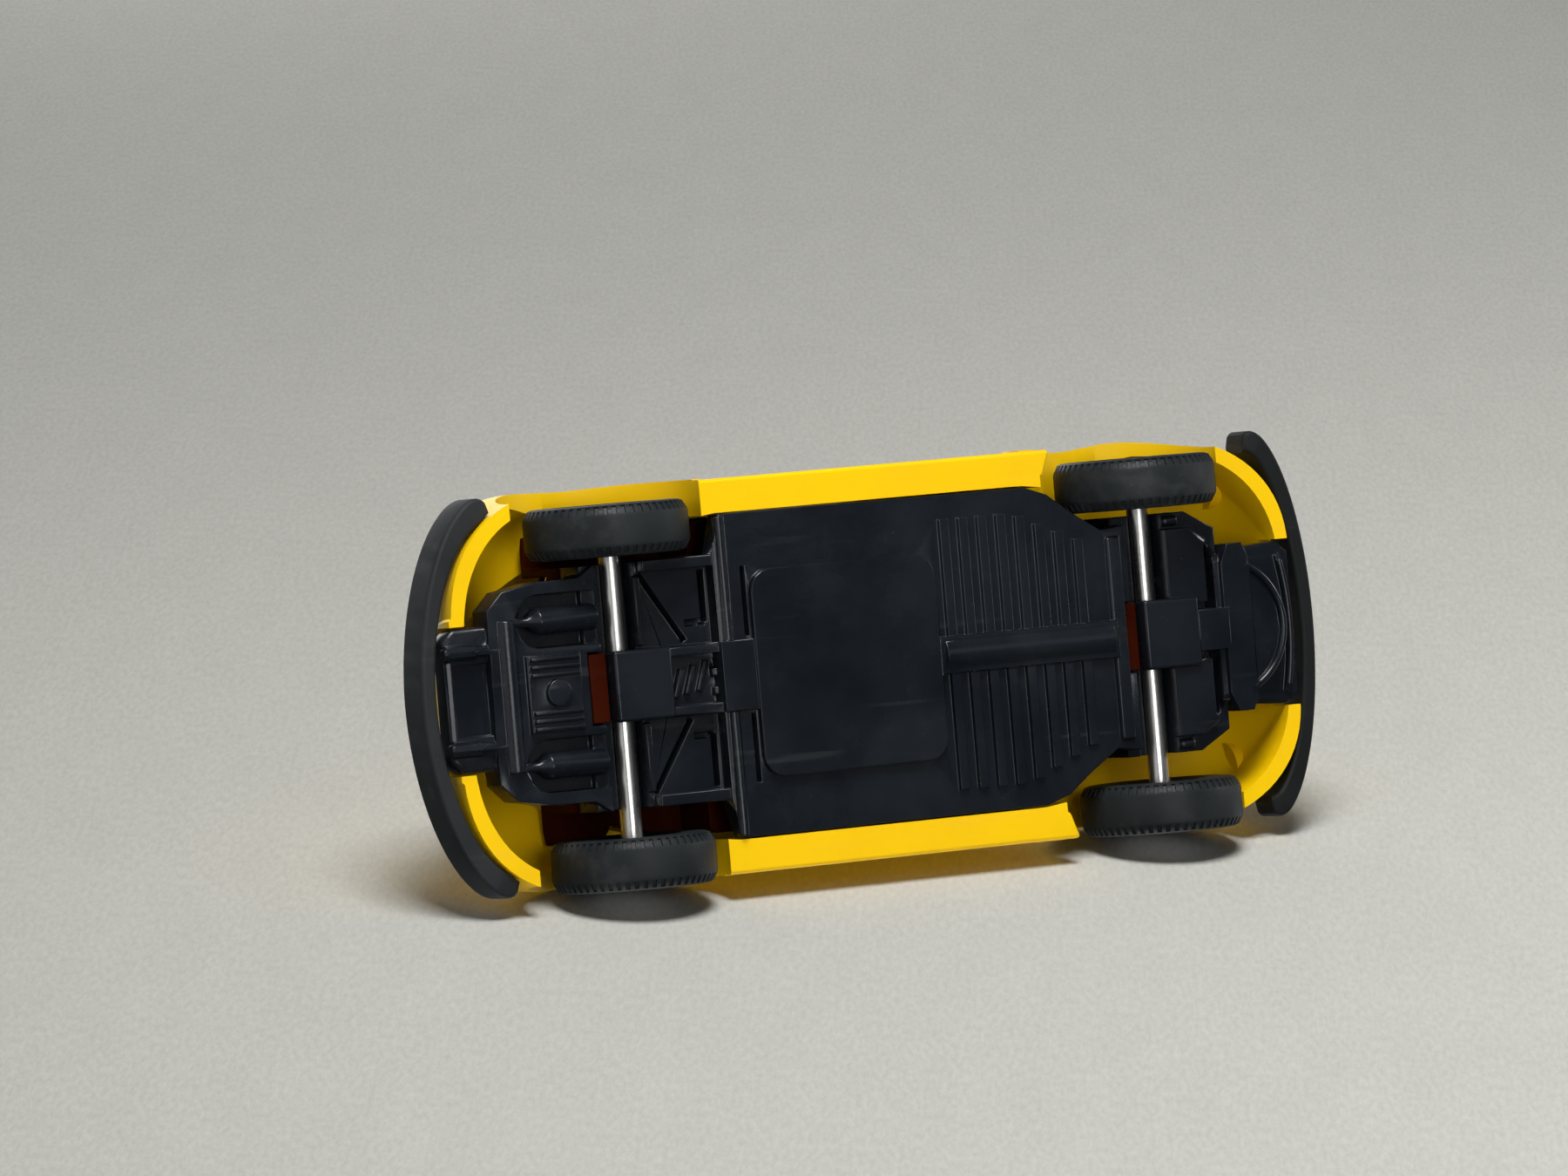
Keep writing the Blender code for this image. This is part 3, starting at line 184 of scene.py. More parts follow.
linked(
    tree,
    (flattened, "Vector", clouds, "Vector"),
    (flattened, "Vector", fibres, "Vector"),
    (place, "Object", painted_light_gradient, 0),
    (painted_light_gradient, "Value", level_off, 0),
    (level_off, 0, clipped, "Value"),
    (mottled, "Result", graded, 0),
    (clipped, 0, graded, "Scale"),
    (clouds, "Fac", tint, "Fac"),
    (fibres, "Fac", fleck, "Fac"),
    (tint, "Color", mottled, "A"),
    (fleck, "Color", mottled, "B"),
    (graded, "Vector", matt, "Color"),
    (sides, "Backfacing", unseen, 0),
    (rays, "Is Shadow Ray", unseen, 1),
    (unseen, 0, blend, "Fac"),
    (matt, 0, blend, 1),
    (clear, 0, blend, 2),
    (blend, 0, output, "Surface"),
)
floor_mesh.materials.append(paper)
print("floor paper nodes:", len(tree.nodes))

# %% [markdown]
# ## Light and background
# The light in the photograph is soft and comes from above. One large lamp gives it, and smaller ones keep the
# other sides readable. Two glints draw the bright lines on the steel pins and the black edges. They leave out
# the floor, by light linking, so they cast no second shadow. The world adds an even grey, and for the camera
# it has the colour of the floor.

# %% Lamps
LAMP_DISTANCE = 300
lamp_target = Vector((0, 0, 8)) * MM
not_lit = bpy.data.collections.new("not_lit_by_glints")
not_lit.objects.link(floor)
not_lit.collection_objects[0].light_linking.link_state = "EXCLUDE"


def lamp(name, direction, size, watts, on_floor=True):
    """A square area lamp that looks at the car's middle. It may leave out the floor."""
    made = bpy.data.objects.new(name, bpy.data.lights.new(name, "AREA"))
    made.data.size = size * MM
    made.data.energy = watts
    outwards = Vector(direction).normalized()
    facing = (-outwards).to_track_quat("-Z", "Y").to_matrix().to_4x4()
    made.matrix_world = Matrix.Translation(lamp_target + outwards * LAMP_DISTANCE * MM) @ facing
    scene.collection.objects.link(made)
    if not on_floor:
        made.light_linking.receiver_collection = not_lit


lamp("window", upwards * 0.85 + to_camera * 0.5 + across * 0.05, 120, 0.93)
lamp("fill_below", to_camera + upwards * 0.2 - across * 0.5, 220, 0.1)
lamp("glint_on_pins", to_camera + across * 0.38, 140, 0.22, on_floor=False)
lamp("glint_on_edges", (0.94, -0.25, -0.34), 60, 0.13, on_floor=False)
lamp("sheen_on_plate", (0.49, -0.3, -0.87), 110, 0.016)
lamp("fill_roof", (0.1, -0.35, 1.0), 220, 0.3)
lamp("fill_left", (0.2, 1.0, 0.35), 220, 0.28)
lamp("fill_tail", (-1.0, -0.2, 0.3), 200, 0.1)
lamp("fill_nose", (1.0, 0.2, 0.3), 200, 0.1)

# %% World
ROOM_SHADE, GROUND_SHADE = (0.9, 0.95, 1.0, 1), (0.535, 0.52, 0.495, 1)
world = bpy.data.worlds.new("grey_room")
scene.world = world
world.use_nodes = True
tree = world.node_tree
tree.nodes.clear()
room = node(tree, "Background", Color=ROOM_SHADE, Strength=0.03)
mirrored_room = node(tree, "Background", Color=ROOM_SHADE, Strength=0.06)
ground = node(tree, "Background", Color=GROUND_SHADE, Strength=1.0)
rays = node(tree, "LightPath")
by_mirror = node(tree, "MixShader")
by_camera = node(tree, "MixShader")
output = node(tree, "OutputWorld")
linked(
    tree,
    (rays, "Is Glossy Ray", by_mirror, "Fac"),
    (room, 0, by_mirror, 1),
    (mirrored_room, 0, by_mirror, 2),
    (rays, "Is Camera Ray", by_camera, "Fac"),
    (by_mirror, 0, by_camera, 1),
    (ground, 0, by_camera, 2),
    (by_camera, 0, output, "Surface"),
)
scene.view_settings.view_transform = "Standard"
print("world nodes:", len(tree.nodes))

# %% [markdown]
# ## Shared surface effects
# Three effects come back in almost every finish of a handled toy: the fine grain of a mould, pale dust in
# patches and specks, and fine scratches. Each is a node group, built once, that puts out masks and heights.

# %% Group helpers and mould grain
def group(name, inputs, outputs):
    """A shader node group with float inputs and outputs. Returns the tree and its two end nodes."""
    tree = bpy.data.node_groups.new(name, "ShaderNodeTree")
    for label, value in inputs.items():
        tree.interface.new_socket(label, in_out="INPUT", socket_type="NodeSocketFloat").default_value = value
    for label in outputs:
        tree.interface.new_socket(label, in_out="OUTPUT", socket_type="NodeSocketFloat")
    return tree, node(tree, "NodeGroupInput"), node(tree, "NodeGroupOutput")


def scaled(tree, source, factor):
    """A socket times a plain factor."""
    made = node(tree, "Math", operation="MULTIPLY")
    made.inputs[1].default_value = factor
    tree.links.new(source, made.inputs[0])
    return made.outputs[0]


mould_grain, start, end = group("mould_grain", {"Scale": 1500.0}, ("Height", "Cloud"))
where = node(mould_grain, "TexCoord")
fine = node(mould_grain, "TexNoise", Detail=3.0, Roughness=0.6)
broad = node(mould_grain, "TexNoise", Detail=4.0, Roughness=0.55)
linked(
    mould_grain,
    (where, "Object", fine, "Vector"),
    (where, "Object", broad, "Vector"),
    (start, "Scale", fine, "Scale"),
    (scaled(mould_grain, start.outputs["Scale"], 0.12), broad, "Scale"),
    (fine, "Fac", end, "Height"),
    (broad, "Fac", end, "Cloud"),
)

# %% Dust
dusting, start, end = group("dusting", {"Scale": 260.0, "Cover": 0.5}, ("Patches", "Specks"))
where = node(dusting, "TexCoord")
patch = node(dusting, "TexNoise", Detail=6.0, Roughness=0.65)
speck = node(dusting, "TexVoronoi", Randomness=1.0)
rarely = node(dusting, "TexNoise", Detail=2.0)
limit = node(dusting, "MapRange", interpolation_type="SMOOTHSTEP")
upper = node(dusting, "Math", operation="ADD")
upper.inputs[1].default_value = 0.22
near = node(dusting, "MapRange", From_Min=0.13, From_Max=0.06)
seldom = node(dusting, "MapRange", From_Min=0.52, From_Max=0.62)
both = node(dusting, "Math", operation="MULTIPLY")
linked(
    dusting,
    (where, "Object", patch, "Vector"),
    (where, "Object", speck, "Vector"),
    (where, "Object", rarely, "Vector"),
    (start, "Scale", patch, "Scale"),
    (scaled(dusting, start.outputs["Scale"], 7.0), speck, "Scale"),
    (scaled(dusting, start.outputs["Scale"], 1.6), rarely, "Scale"),
    (patch, "Fac", limit, "Value"),
    (start, "Cover", limit, "From Min"),
    (start, "Cover", upper, 0),
    (upper, 0, limit, "From Max"),
    (speck, "Distance", near, "Value"),
    (rarely, "Fac", seldom, "Value"),
    (near, "Result", both, 0),
    (seldom, "Result", both, 1),
    (limit, "Result", end, "Patches"),
    (both, 0, end, "Specks"),
)

# %% Scratches
scratching, start, end = group("scratching", {"Scale": 300.0}, ("Scratches",))
where = node(scratching, "TexCoord")
either = node(scratching, "Math", operation="MAXIMUM")
for socket, turns in enumerate(((0.3, 0.2, 0.5), (1.1, 0.4, 2.0))):
    long = node(scratching, "Mapping", Rotation=turns, Scale=(0.06, 1.0, 1.0))
    hair = node(scratching, "TexNoise", Detail=2.0, Roughness=0.5)
    thin = node(scratching, "MapRange", From_Min=0.66, From_Max=0.74)
    linked(
        scratching,
        (where, "Object", long, "Vector"),
        (long, "Vector", hair, "Vector"),
        (scaled(scratching, start.outputs["Scale"], 4.0), hair, "Scale"),
        (hair, "Fac", thin, "Value"),
        (thin, "Result", either, socket),
    )
linked(scratching, (either, 0, end, "Scratches"))
print("groups:", [each.name for each in bpy.data.node_groups])

# %% [markdown]
# ## Moulded plastics
# All the mouldings share one recipe: a base colour with a second shade in slow clouds, a roughness that
# follows the same clouds, dust and scratches mixed over the colour, and the mould's grain as a bump. Each
# plastic then has its own values. The yellow is glossy, the chassis has a soft sheen and the bumpers and
# tyres are matt.

# %% Recipe for a moulded plastic
SPECKS_TO_PATCHES = 1.6


def principled(name):
    """A new material, its node tree and its shader."""
    made = bpy.data.materials.new(name)
    made.use_nodes = True
    return made, made.node_tree, made.node_tree.nodes["Principled BSDF"]


def placed(tree, effect, **values):
    """Puts one of the node groups into a tree, with values for its inputs."""
    made = node(tree, "Group")
    made.node_tree = effect
    for label, value in values.items():
        made.inputs[label].default_value = value
    return made


def over(tree, mask, below, above):
    """Lays one colour over another by a mask. A colour is a socket or three numbers."""
    made = node(tree, "Mix", data_type="RGBA")
    tree.links.new(mask, made.inputs["Factor"])
    for label, colour in (("A", below), ("B", above)):
        if isinstance(colour, tuple):
            made.inputs[label].default_value = (*colour, 1)
        else:
            tree.links.new(colour, made.inputs[label])
    return made.outputs["Result"]


def moulded(name, colour, second, rough, shine, grain, bump, dust, cover, dust_share, scratch_share):
    """A moulded plastic. Rough is a pair, and the shares say how much dust and scratches cover the colour."""
    made, tree, shader = principled(name)
    shader.inputs["Specular IOR Level"].default_value = shine
    grained = placed(tree, mould_grain, Scale=grain)
    dusty = placed(tree, dusting, Cover=cover)
    scratched = placed(tree, scratching)
    cloud = node(tree, "MapRange", From_Min=0.35, From_Max=0.65)
    linked(tree, (grained, "Cloud", cloud, "Value"))
    shade = over(tree, cloud.outputs["Result"], colour, second)
    layers = (
        (dusty.outputs["Patches"], dust_share),
        (dusty.outputs["Specks"], dust_share * SPECKS_TO_PATCHES),
        (scratched.outputs["Scratches"], scratch_share),
    )
    for mask, share in layers:
        shade = over(tree, scaled(tree, mask, share), shade, dust)
    gloss = node(tree, "MapRange", To_Min=rough[0], To_Max=rough[1])
    bumped = node(tree, "Bump", Strength=bump, Distance=0.00003)
    linked(
        tree,
        (shade, shader, "Base Color"),
        (cloud, "Result", gloss, "Value"),
        (gloss, "Result", shader, "Roughness"),
        (grained, "Height", bumped, "Height"),
        (bumped, "Normal", shader, "Normal"),
    )
    return made


# %% Six plastics
dust_colour = (0.2, 0.2, 0.19)
yellow = moulded(
    "yellow_plastic", (0.98, 0.615, 0.001), (0.95, 0.57, 0.001), rough=(0.34, 0.44), shine=0.2, grain=1300.0,
    bump=0.12, dust=(0.8, 0.5, 0.1), cover=0.62, dust_share=0.12, scratch_share=0.08,
)
black = moulded(
    "chassis_plastic", (0.0042, 0.006, 0.0092), (0.0068, 0.0092, 0.0132), rough=(0.2, 0.33), shine=0.4,
    grain=1800.0, bump=0.5, dust=dust_colour, cover=0.6, dust_share=0.04, scratch_share=0.06,
)
grey = moulded(
    "bumper_plastic", (0.0098, 0.0117, 0.0128), (0.0135, 0.0156, 0.0174), rough=(0.56, 0.68), shine=0.4,
    grain=3000.0, bump=0.35, dust=dust_colour, cover=0.62, dust_share=0.06, scratch_share=0.04,
)
# Painted shade: the bumper plastic again with a darker colour, for the front bumper that lies in the shade.
grey_with_painted_shade = moulded(
    "front_bumper_painted_shade", (0.0045, 0.0055, 0.0058), (0.0062, 0.0074, 0.008), rough=(0.56, 0.68), shine=0.25,
    grain=3000.0, bump=0.35, dust=dust_colour, cover=0.62, dust_share=0.03, scratch_share=0.02,
)
rubber = moulded(
    "tyre_plastic", (0.0095, 0.0122, 0.0138), (0.0145, 0.0178, 0.0195), rough=(0.46, 0.6), shine=0.24,
    grain=2600.0, bump=0.4, dust=(0.1, 0.105, 0.11), cover=0.5, dust_share=0.2, scratch_share=0.08,
)
brown = moulded(
    "cabin_plastic", (0.042, 0.0055, 0.001), (0.03, 0.0036, 0.0008), rough=(0.45, 0.6), shine=0.03,
    grain=1800.0, bump=0.2, dust=(0.1, 0.05, 0.04), cover=0.62, dust_share=0.04, scratch_share=0.03,
)
print("plastics:", [each.name for each in (yellow, black, grey, grey_with_painted_shade, rubber, brown)])

# %% [markdown]
# ## Shapes from bent sheets
# The body's curves come from one idea: a flat grid is laid over a form, as a sheet of plastic is drawn over a
# mould. Each grid point has a station along the car and a step round a section, and a formula says where it
# goes. The grid closes on itself, its two open ends are filled, and the result is a solid for Booleans.

# %% Sheets, outlines and bars
TOUCHING = 1e-7
CORNER_SEGMENTS = 8


def bent_sheet(columns, rows, place):
    """A grid whose points go where place(column, row) says, in millimetres. The rows close into rings."""
    sheet = bmesh.new()
    bmesh.ops.create_grid(sheet, x_segments=columns, y_segments=rows, size=0.5)
    for vertex in sheet.verts:
        column = round((vertex.co.x + 0.5) * columns)
        row = round((vertex.co.y + 0.5) * rows) % rows
        vertex.co = Vector(place(column, row)) * MM
    bmesh.ops.remove_doubles(sheet, verts=sheet.verts, dist=TOUCHING)
    bmesh.ops.holes_fill(sheet, edges=sheet.edges, sides=0)
    bmesh.ops.recalc_face_normals(sheet, faces=sheet.faces)
    return sheet


def raised(outline, direction, low, high, corner=0.0, frame_width=0.0):
    """A flat outline with round corners, raised along an axis. With a width, only its frame is raised."""
    solid = bmesh.new()
    axis = "XYZ".index(direction)
    points = []
    for pair in outline:
        point = list(pair)
        point.insert(axis, low)
        points.append(solid.verts.new(Vector(point) * MM))
    face = solid.faces.new(points)
    if corner:
        bmesh.ops.bevel(
            solid, geom=solid.verts[:], offset=corner * MM, segments=CORNER_SEGMENTS, profile=0.5,
            affect="VERTICES", material=-1,
        )
        face = solid.faces[:][0]
    faces = [face]
    if frame_width:
        faces = bmesh.ops.inset_region(
            solid, faces=[face], thickness=frame_width * MM, use_boundary=True, use_even_offset=True
        )["faces"]
        bmesh.ops.delete(solid, geom=[face], context="FACES")
    grown = bmesh.ops.extrude_face_region(solid, geom=faces, use_keep_orig=True)
    upper_points = [each for each in grown["geom"] if isinstance(each, bmesh.types.BMVert)]
    shift = Vector((0, 0, 0))
    shift[axis] = (high - low) * MM
    bmesh.ops.translate(solid, verts=upper_points, vec=shift)
    bmesh.ops.recalc_face_normals(solid, faces=solid.faces)
    return solid


def block(x_range, y_range, z_range):
    """A box between three pairs of limits."""
    (rear, front), (low_y, high_y) = x_range, y_range
    return raised([(rear, low_y), (front, low_y), (front, high_y), (rear, high_y)], "Z", *z_range)


def bar(start, end, radius, segments=48):
    """A round bar between two points."""
    solid = bmesh.new()
    along = (Vector(end) - Vector(start)) * MM
    bmesh.ops.create_cone(
        solid, cap_ends=True, segments=segments, radius1=radius * MM, radius2=radius * MM, depth=along.length
    )
    swing = Vector((0, 0, 1)).rotation_difference(along).to_matrix()
    bmesh.ops.rotate(solid, verts=solid.verts, matrix=swing)
    bmesh.ops.translate(solid, verts=solid.verts, vec=Vector(start) * MM + along / 2)
    return solid


def both_sides(solids):
    """The solids, and a mirrored copy of each on the car's other side."""
    others = []
    for solid in solids:
        other = solid.copy()
        bmesh.ops.scale(other, verts=other.verts, vec=(1, -1, 1))
        bmesh.ops.reverse_faces(other, faces=other.faces)
        others.append(other)
    return solids + others


# %% [markdown]
# Forms are joined and cut with exact Booleans, as a mould maker adds and mills away. A Boolean can leave a
# sliver beside the solid. Such a face has at most one neighbour, so it is easy to find and delete. A finished
# piece gets its finish, soft edges where a moulding has them, and normals that keep flat faces flat.

# %% Booleans and finished pieces
SAME_POINT, FLAT_ANGLE = 2e-7, 0.0005
SOFT_EDGE_ANGLE = math.radians(38)


def combined(operation, first, others):
    """The exact Boolean of one solid with several others at once. All of them are used up."""
    operands = []
    tools = bpy.data.collections.new("tools")
    for solid in [first] + others:
        bmesh.ops.triangulate(solid, faces=solid.faces)
        mesh = bpy.data.meshes.new("operand")
        solid.to_mesh(mesh)
        solid.free()
        operands.append(bpy.data.objects.new("operand", mesh))
        scene.collection.objects.link(operands[-1])
    for operand in operands[1:]:
        tools.objects.link(operand)
    boolean = operands[0].modifiers.new("combine", "BOOLEAN")
    boolean.operation = operation
    boolean.solver = "EXACT"
    boolean.operand_type = "COLLECTION"
    boolean.collection = tools
    result = bmesh.new()
    result.from_object(operands[0], bpy.context.evaluated_depsgraph_get())
    bmesh.ops.remove_doubles(result, verts=result.verts, dist=SAME_POINT)
    bmesh.ops.dissolve_limit(result, angle_limit=FLAT_ANGLE, verts=result.verts, edges=result.edges)
    touching = {face: {near for edge in face.edges for near in edge.link_faces} for face in result.faces}
    slivers = []
    for face, pair in touching.items():
        if len(pair) < 3 and all(touching[near] == pair for near in pair):
            slivers.append(face)
    bmesh.ops.delete(result, geom=slivers, context="FACES")
    for operand in operands:
        mesh = operand.data
        bpy.data.objects.remove(operand)
        bpy.data.meshes.remove(mesh)
    bpy.data.collections.remove(tools)
    return result


def finished(name, solid, finish, body, replaced, sharp=32, soft_edge=0.0):
    """Makes a piece that rides on a body and stands for a CAD node. A soft edge is a bevel's width."""
    mesh = bpy.data.meshes.new(name)
    if soft_edge:
        bmesh.ops.connect_verts_concave(solid, faces=solid.faces)
    solid.to_mesh(mesh)
    solid.free()
    mesh.shade_smooth()
    mesh.set_sharp_from_angle(angle=math.radians(sharp))
    mesh.materials.append(finish)
    made = bpy.data.objects.new(name, mesh)
    scene.collection.objects.link(made)
    if soft_edge:
        bevel = made.modifiers.new("soft_edge", "BEVEL")
        bevel.width = soft_edge * MM
        bevel.segments = 2
        bevel.use_clamp_overlap = False
        bevel.limit_method = "ANGLE"
        bevel.angle_limit = SOFT_EDGE_ANGLE
    evened = made.modifiers.new("flat_faces", "WEIGHTED_NORMAL")
    evened.weight = 100
    evened.keep_sharp = True
    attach(made, body)
    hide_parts(replaced)
    print(name, "faces:", len(mesh.polygons))
    return made


# %% [markdown]
# ## The body's forms
# The hull is the car without fenders: a centre line over bonnet, windscreen, roof and tail, a plan that
# narrows to both ends, and sections that close over the top along a superellipse. A fender is a shorter form
# of this kind. Both are written with an inset, so one formula gives the outer skin, the inner skin and the
# panes.

# %% Hull
FRONT_X, REAR_X, AXLE_Z, TYRE_RADIUS = 14.6, -13.2, 3.75, 3.75
NOSE_X, TAIL_X, COWL_X, ROOF_X = 22.3, -21.85, 7.6, -1.3
HEIGHT, COWL_Z, BELT_Z, SILL_Z, LIP_Z = 17.2, 11.9, 10.9, 2.35, 3.1
FRONT_FENDER_REAR, REAR_FENDER_FRONT = 8.15, -8.57
DOOR_HALF_WIDTH, NOSE_HALF_WIDTH, TAIL_HALF_WIDTH = 8.0, 3.5, 3.6
NOSE_TOP, TAIL_TOP, SHOULDER_SHARE = 5.3, 5.2, 0.32
MIDDLE_X, HALF_LENGTH = 0.225, 22.075
HULL_STEPS = 18
BELOW = -1.0


def swell(position, start, end, powers):
    """Falls from 1 at start to 0 at end along a superellipse."""
    part = min(max((position - start) / (end - start), 0.0), 1.0)
    return (1 - part ** powers[0]) ** (1 / powers[1])


def crowded(start, end, count):
    """Stations from start to end that lie closer towards both ends."""
    return [start + (end - start) * (1 - math.cos(math.pi * i / count)) / 2 for i in range(count + 1)]


hull_stations = crowded(TAIL_X, REAR_FENDER_FRONT, 18) + crowded(REAR_FENDER_FRONT, ROOF_X, 12)[1:]
hull_stations += crowded(ROOF_X, COWL_X, 18)[1:] + crowded(COWL_X, NOSE_X, 24)[1:]


def hull_section(x):
    """The height and the half width of the hull at a station."""
    if x > COWL_X:
        height = NOSE_TOP + (COWL_Z - NOSE_TOP) * swell(x, COWL_X, NOSE_X, (2.2, 1.8))
        narrowing = swell(x, COWL_X, NOSE_X, (1.4, 1.2))
        return height, NOSE_HALF_WIDTH + (DOOR_HALF_WIDTH - NOSE_HALF_WIDTH) * narrowing
    narrowing = swell(x, REAR_FENDER_FRONT, TAIL_X, (1.3, 1.2))
    half_width = TAIL_HALF_WIDTH + (DOOR_HALF_WIDTH - TAIL_HALF_WIDTH) * narrowing
    if x > ROOF_X:
        return COWL_Z + (HEIGHT - COWL_Z) * swell(x, ROOF_X, COWL_X, (2.4, 1.25)), half_width
    return TAIL_TOP + (HEIGHT - TAIL_TOP) * swell(x, ROOF_X, TAIL_X, (1.8, 1.4)), half_width


def hull(inset=0.0, bottom=None):
    """The body without fenders, down to the sills and the fender lips, or to a given bottom."""

    def place(column, row):
        x = hull_stations[column]
        height, half_width = hull_section(x)
        half_width -= inset
        boxiness = 2.3 + 0.6 * swell(abs(x - ROOF_X), 0.0, NOSE_X - ROOF_X, (3.0, 1.0))
        shoulder = SILL_Z + SHOULDER_SHARE * (height - SILL_Z)
        along = MIDDLE_X + (x - MIDDLE_X) * (HALF_LENGTH - inset) / HALF_LENGTH
        side = 1 if row <= HULL_STEPS + 1 else -1
        step = (row if side > 0 else 2 * HULL_STEPS + 2 - row) - 1
        if step < 0:
            between = REAR_X - TYRE_RADIUS / 2 < x < FRONT_X + TYRE_RADIUS / 2
            edge = SILL_Z if between else LIP_Z
            return along, side * half_width, edge if bottom is None else bottom
        angle = math.pi / 2 * step / HULL_STEPS
        out = half_width * math.cos(angle) ** (2 / boxiness) if step < HULL_STEPS else 0.0
        return along, side * out, shoulder + (height - inset - shoulder) * math.sin(angle) ** (2 / boxiness)

    return bent_sheet(len(hull_stations) - 1, 2 * HULL_STEPS + 3, place)


print("hull stations:", len(hull_stations))

# %% Fenders
FENDER_HALF_WIDTH, FENDER_INNER_Y, FENDER_TOP, FENDER_END_TOP = 9.0, 1.5, 9.5, 0.4
FENDER_BOXINESS, FENDER_TURN = 2.4, 0.7
FENDER_STATIONS, FENDER_STEPS = 40, 14


def fender(rear, front, crown, shoulder, tip_half_width, nose_curve, inset):
    """The left fender. Its top is highest at the crown, and its plan narrows from the shoulder to its tip."""
    stations = crowded(rear, front, FENDER_STATIONS)
    tip = front if abs(front) > abs(rear) else rear
    centre, half_length = (front + rear) / 2, (front - rear) / 2
    widening = FENDER_HALF_WIDTH - tip_half_width

    def place(column, row):
        x = stations[column]
        half_width = tip_half_width + widening * swell(x, shoulder, tip, (2.2, 2.2)) - inset
        end = front if x > crown else rear
        power = nose_curve if end == tip else 2.3
        rise = FENDER_TOP - LIP_Z - FENDER_END_TOP
        top = LIP_Z + FENDER_END_TOP + rise * swell(x, crown, end, (power, power))
        turn = LIP_Z + FENDER_TURN * (top - LIP_Z) - inset
        along = centre + (x - centre) * (half_length - inset) / half_length
        if row < 2:
            return along, half_width if row else FENDER_INNER_Y, LIP_Z if inset == 0 else BELOW
        angle = math.pi / 2 * (row - 2) / FENDER_STEPS
        out = math.cos(angle) ** (2 / FENDER_BOXINESS) if row - 2 < FENDER_STEPS else 0.0
        up = math.sin(angle) ** (2 / FENDER_BOXINESS)
        return along, FENDER_INNER_Y + (half_width - FENDER_INNER_Y) * out, turn + (top - inset - turn) * up

    return bent_sheet(FENDER_STATIONS, FENDER_STEPS + 3, place)


def fenders(inset=0.0):
    """All four fenders."""
    front = fender(FRONT_FENDER_REAR, NOSE_X - 0.1, FRONT_X + 0.6, FRONT_X + 0.6, 3.5, 2.5, inset)
    rear = fender(TAIL_X + 0.1, REAR_FENDER_FRONT, REAR_X - 1.0, REAR_X - 2.8, 3.0, 2.3, inset)
    return both_sides([front, rear])


print("fender stations:", FENDER_STATIONS + 1)

# %% [markdown]
# ## Windows and panel lines
# Windows are cut by raised outlines with round corners: the side windows go right through the car, and the
# screens go in from its ends. Doors, bonnet and engine lid are only lines in such a small model, so they are
# shallow grooves that follow the skin.

# %% Window and groove cutters
REACH = 60.0
LINE_WIDTH, LINE_DEPTH, DOOR_FOOT_Z = 0.14, 0.16, 3.55


def window_tools(gap=0.0):
    """Cutters of all windows, each smaller by the gap all round."""
    top, low, pillar = HEIGHT - 1.9, BELT_Z + gap, ROOF_X - 2.4
    door = [(COWL_X - 2.4 - 2 * gap, low), (COWL_X - 5.0 - gap, top - 0.2 - gap)]
    door += [(pillar + 0.7 + gap, top - gap), (pillar + 0.2 + gap, low)]
    quarter = [(pillar - 0.8 - gap, low), (pillar - 0.5 - gap, top - 0.2 - gap)]
    quarter += [(pillar - 3.4 + gap, top - 0.9 - gap), (pillar - 5.8 + 2 * gap, BELT_Z + 0.9 + gap)]
    quarter.append((pillar - 4.9 + gap, low))
    screen = [(6.5 - gap, COWL_Z + 0.55 + gap), (5.2 - gap, HEIGHT - 1.7 - gap)]
    rear = [(4.6 - gap, COWL_Z + 1.0 + gap), (3.9 - gap, HEIGHT - 2.1 - gap)]
    tools = [raised(outline, "Y", -REACH, REACH, 0.5) for outline in (door, quarter)]
    for outline, start, end in ((screen, ROOF_X + 1.5, NOSE_X), (rear, TAIL_X, ROOF_X - 4.5)):
        closed = outline + [(-y, z) for y, z in reversed(outline)]
        tools.append(raised(closed, "X", start, end, 0.7))
    return tools


def panel_lines():
    """Shallow grooves of the doors, the bonnet and the engine lid."""
    door = [(COWL_X - 0.6, DOOR_FOOT_Z), (COWL_X - 0.9, BELT_Z - 0.5), (COWL_X - 4.5, HEIGHT - 1.3)]
    door += [(ROOF_X - 2.1, HEIGHT - 1.2), (ROOF_X - 2.6, DOOR_FOOT_Z)]
    bonnet = [(COWL_X + 0.3, 5.2), (FRONT_X + 1.0, 4.3), (NOSE_X - 1.2, 2.2)]
    lid = [(3.3, 6.0), (3.8, 11.2)]
    frames = [
        raised(door, "Y", 3.0, REACH, 0.7, LINE_WIDTH),
        raised(door, "Y", -REACH, -3.0, 0.7, LINE_WIDTH),
        raised(bonnet + [(x, -y) for x, y in reversed(bonnet)], "Z", 5.8, REACH, 0.9, LINE_WIDTH),
        raised(lid + [(-y, z) for y, z in reversed(lid)], "X", -REACH, ROOF_X - 5.0, 0.8, LINE_WIDTH),
    ]
    frames = combined("UNION", frames[0], frames[1:])
    return combined("DIFFERENCE", frames, [hull(LINE_DEPTH, BELOW)] + fenders(LINE_DEPTH))


# %% [markdown]
# ## The yellow body shell
# The real shell is one moulding with thin walls. Outer forms are joined, and then everything that is missing
# is taken away at once: the inner forms, the windows, the wheel arches, the lamp bores and the notches for
# bracket and apron. The running boards are flat bars with rounded edges, and each ends in a slanted tip at
# the front.

# %% Running boards
BOARD_REAR, BOARD_FRONT = REAR_FENDER_FRONT - 1.0, FRONT_FENDER_REAR - 0.6
BOARD_INNER_Y, BOARD_OUTER_Y, BOARD_HEIGHT, BOARD_ROUNDING, TIP_OVERLAP = 7.0, 8.95, 0.8, 0.2, 0.01
tip_outline = [(6.8, 7.7), (8.95, 7.7), (9.4, 8.96), (6.8, 8.96)]
board_outline = [(BOARD_REAR, BOARD_INNER_Y), (BOARD_FRONT, BOARD_INNER_Y)]
board_outline += [(BOARD_FRONT, BOARD_OUTER_Y), (BOARD_REAR, BOARD_OUTER_Y)]


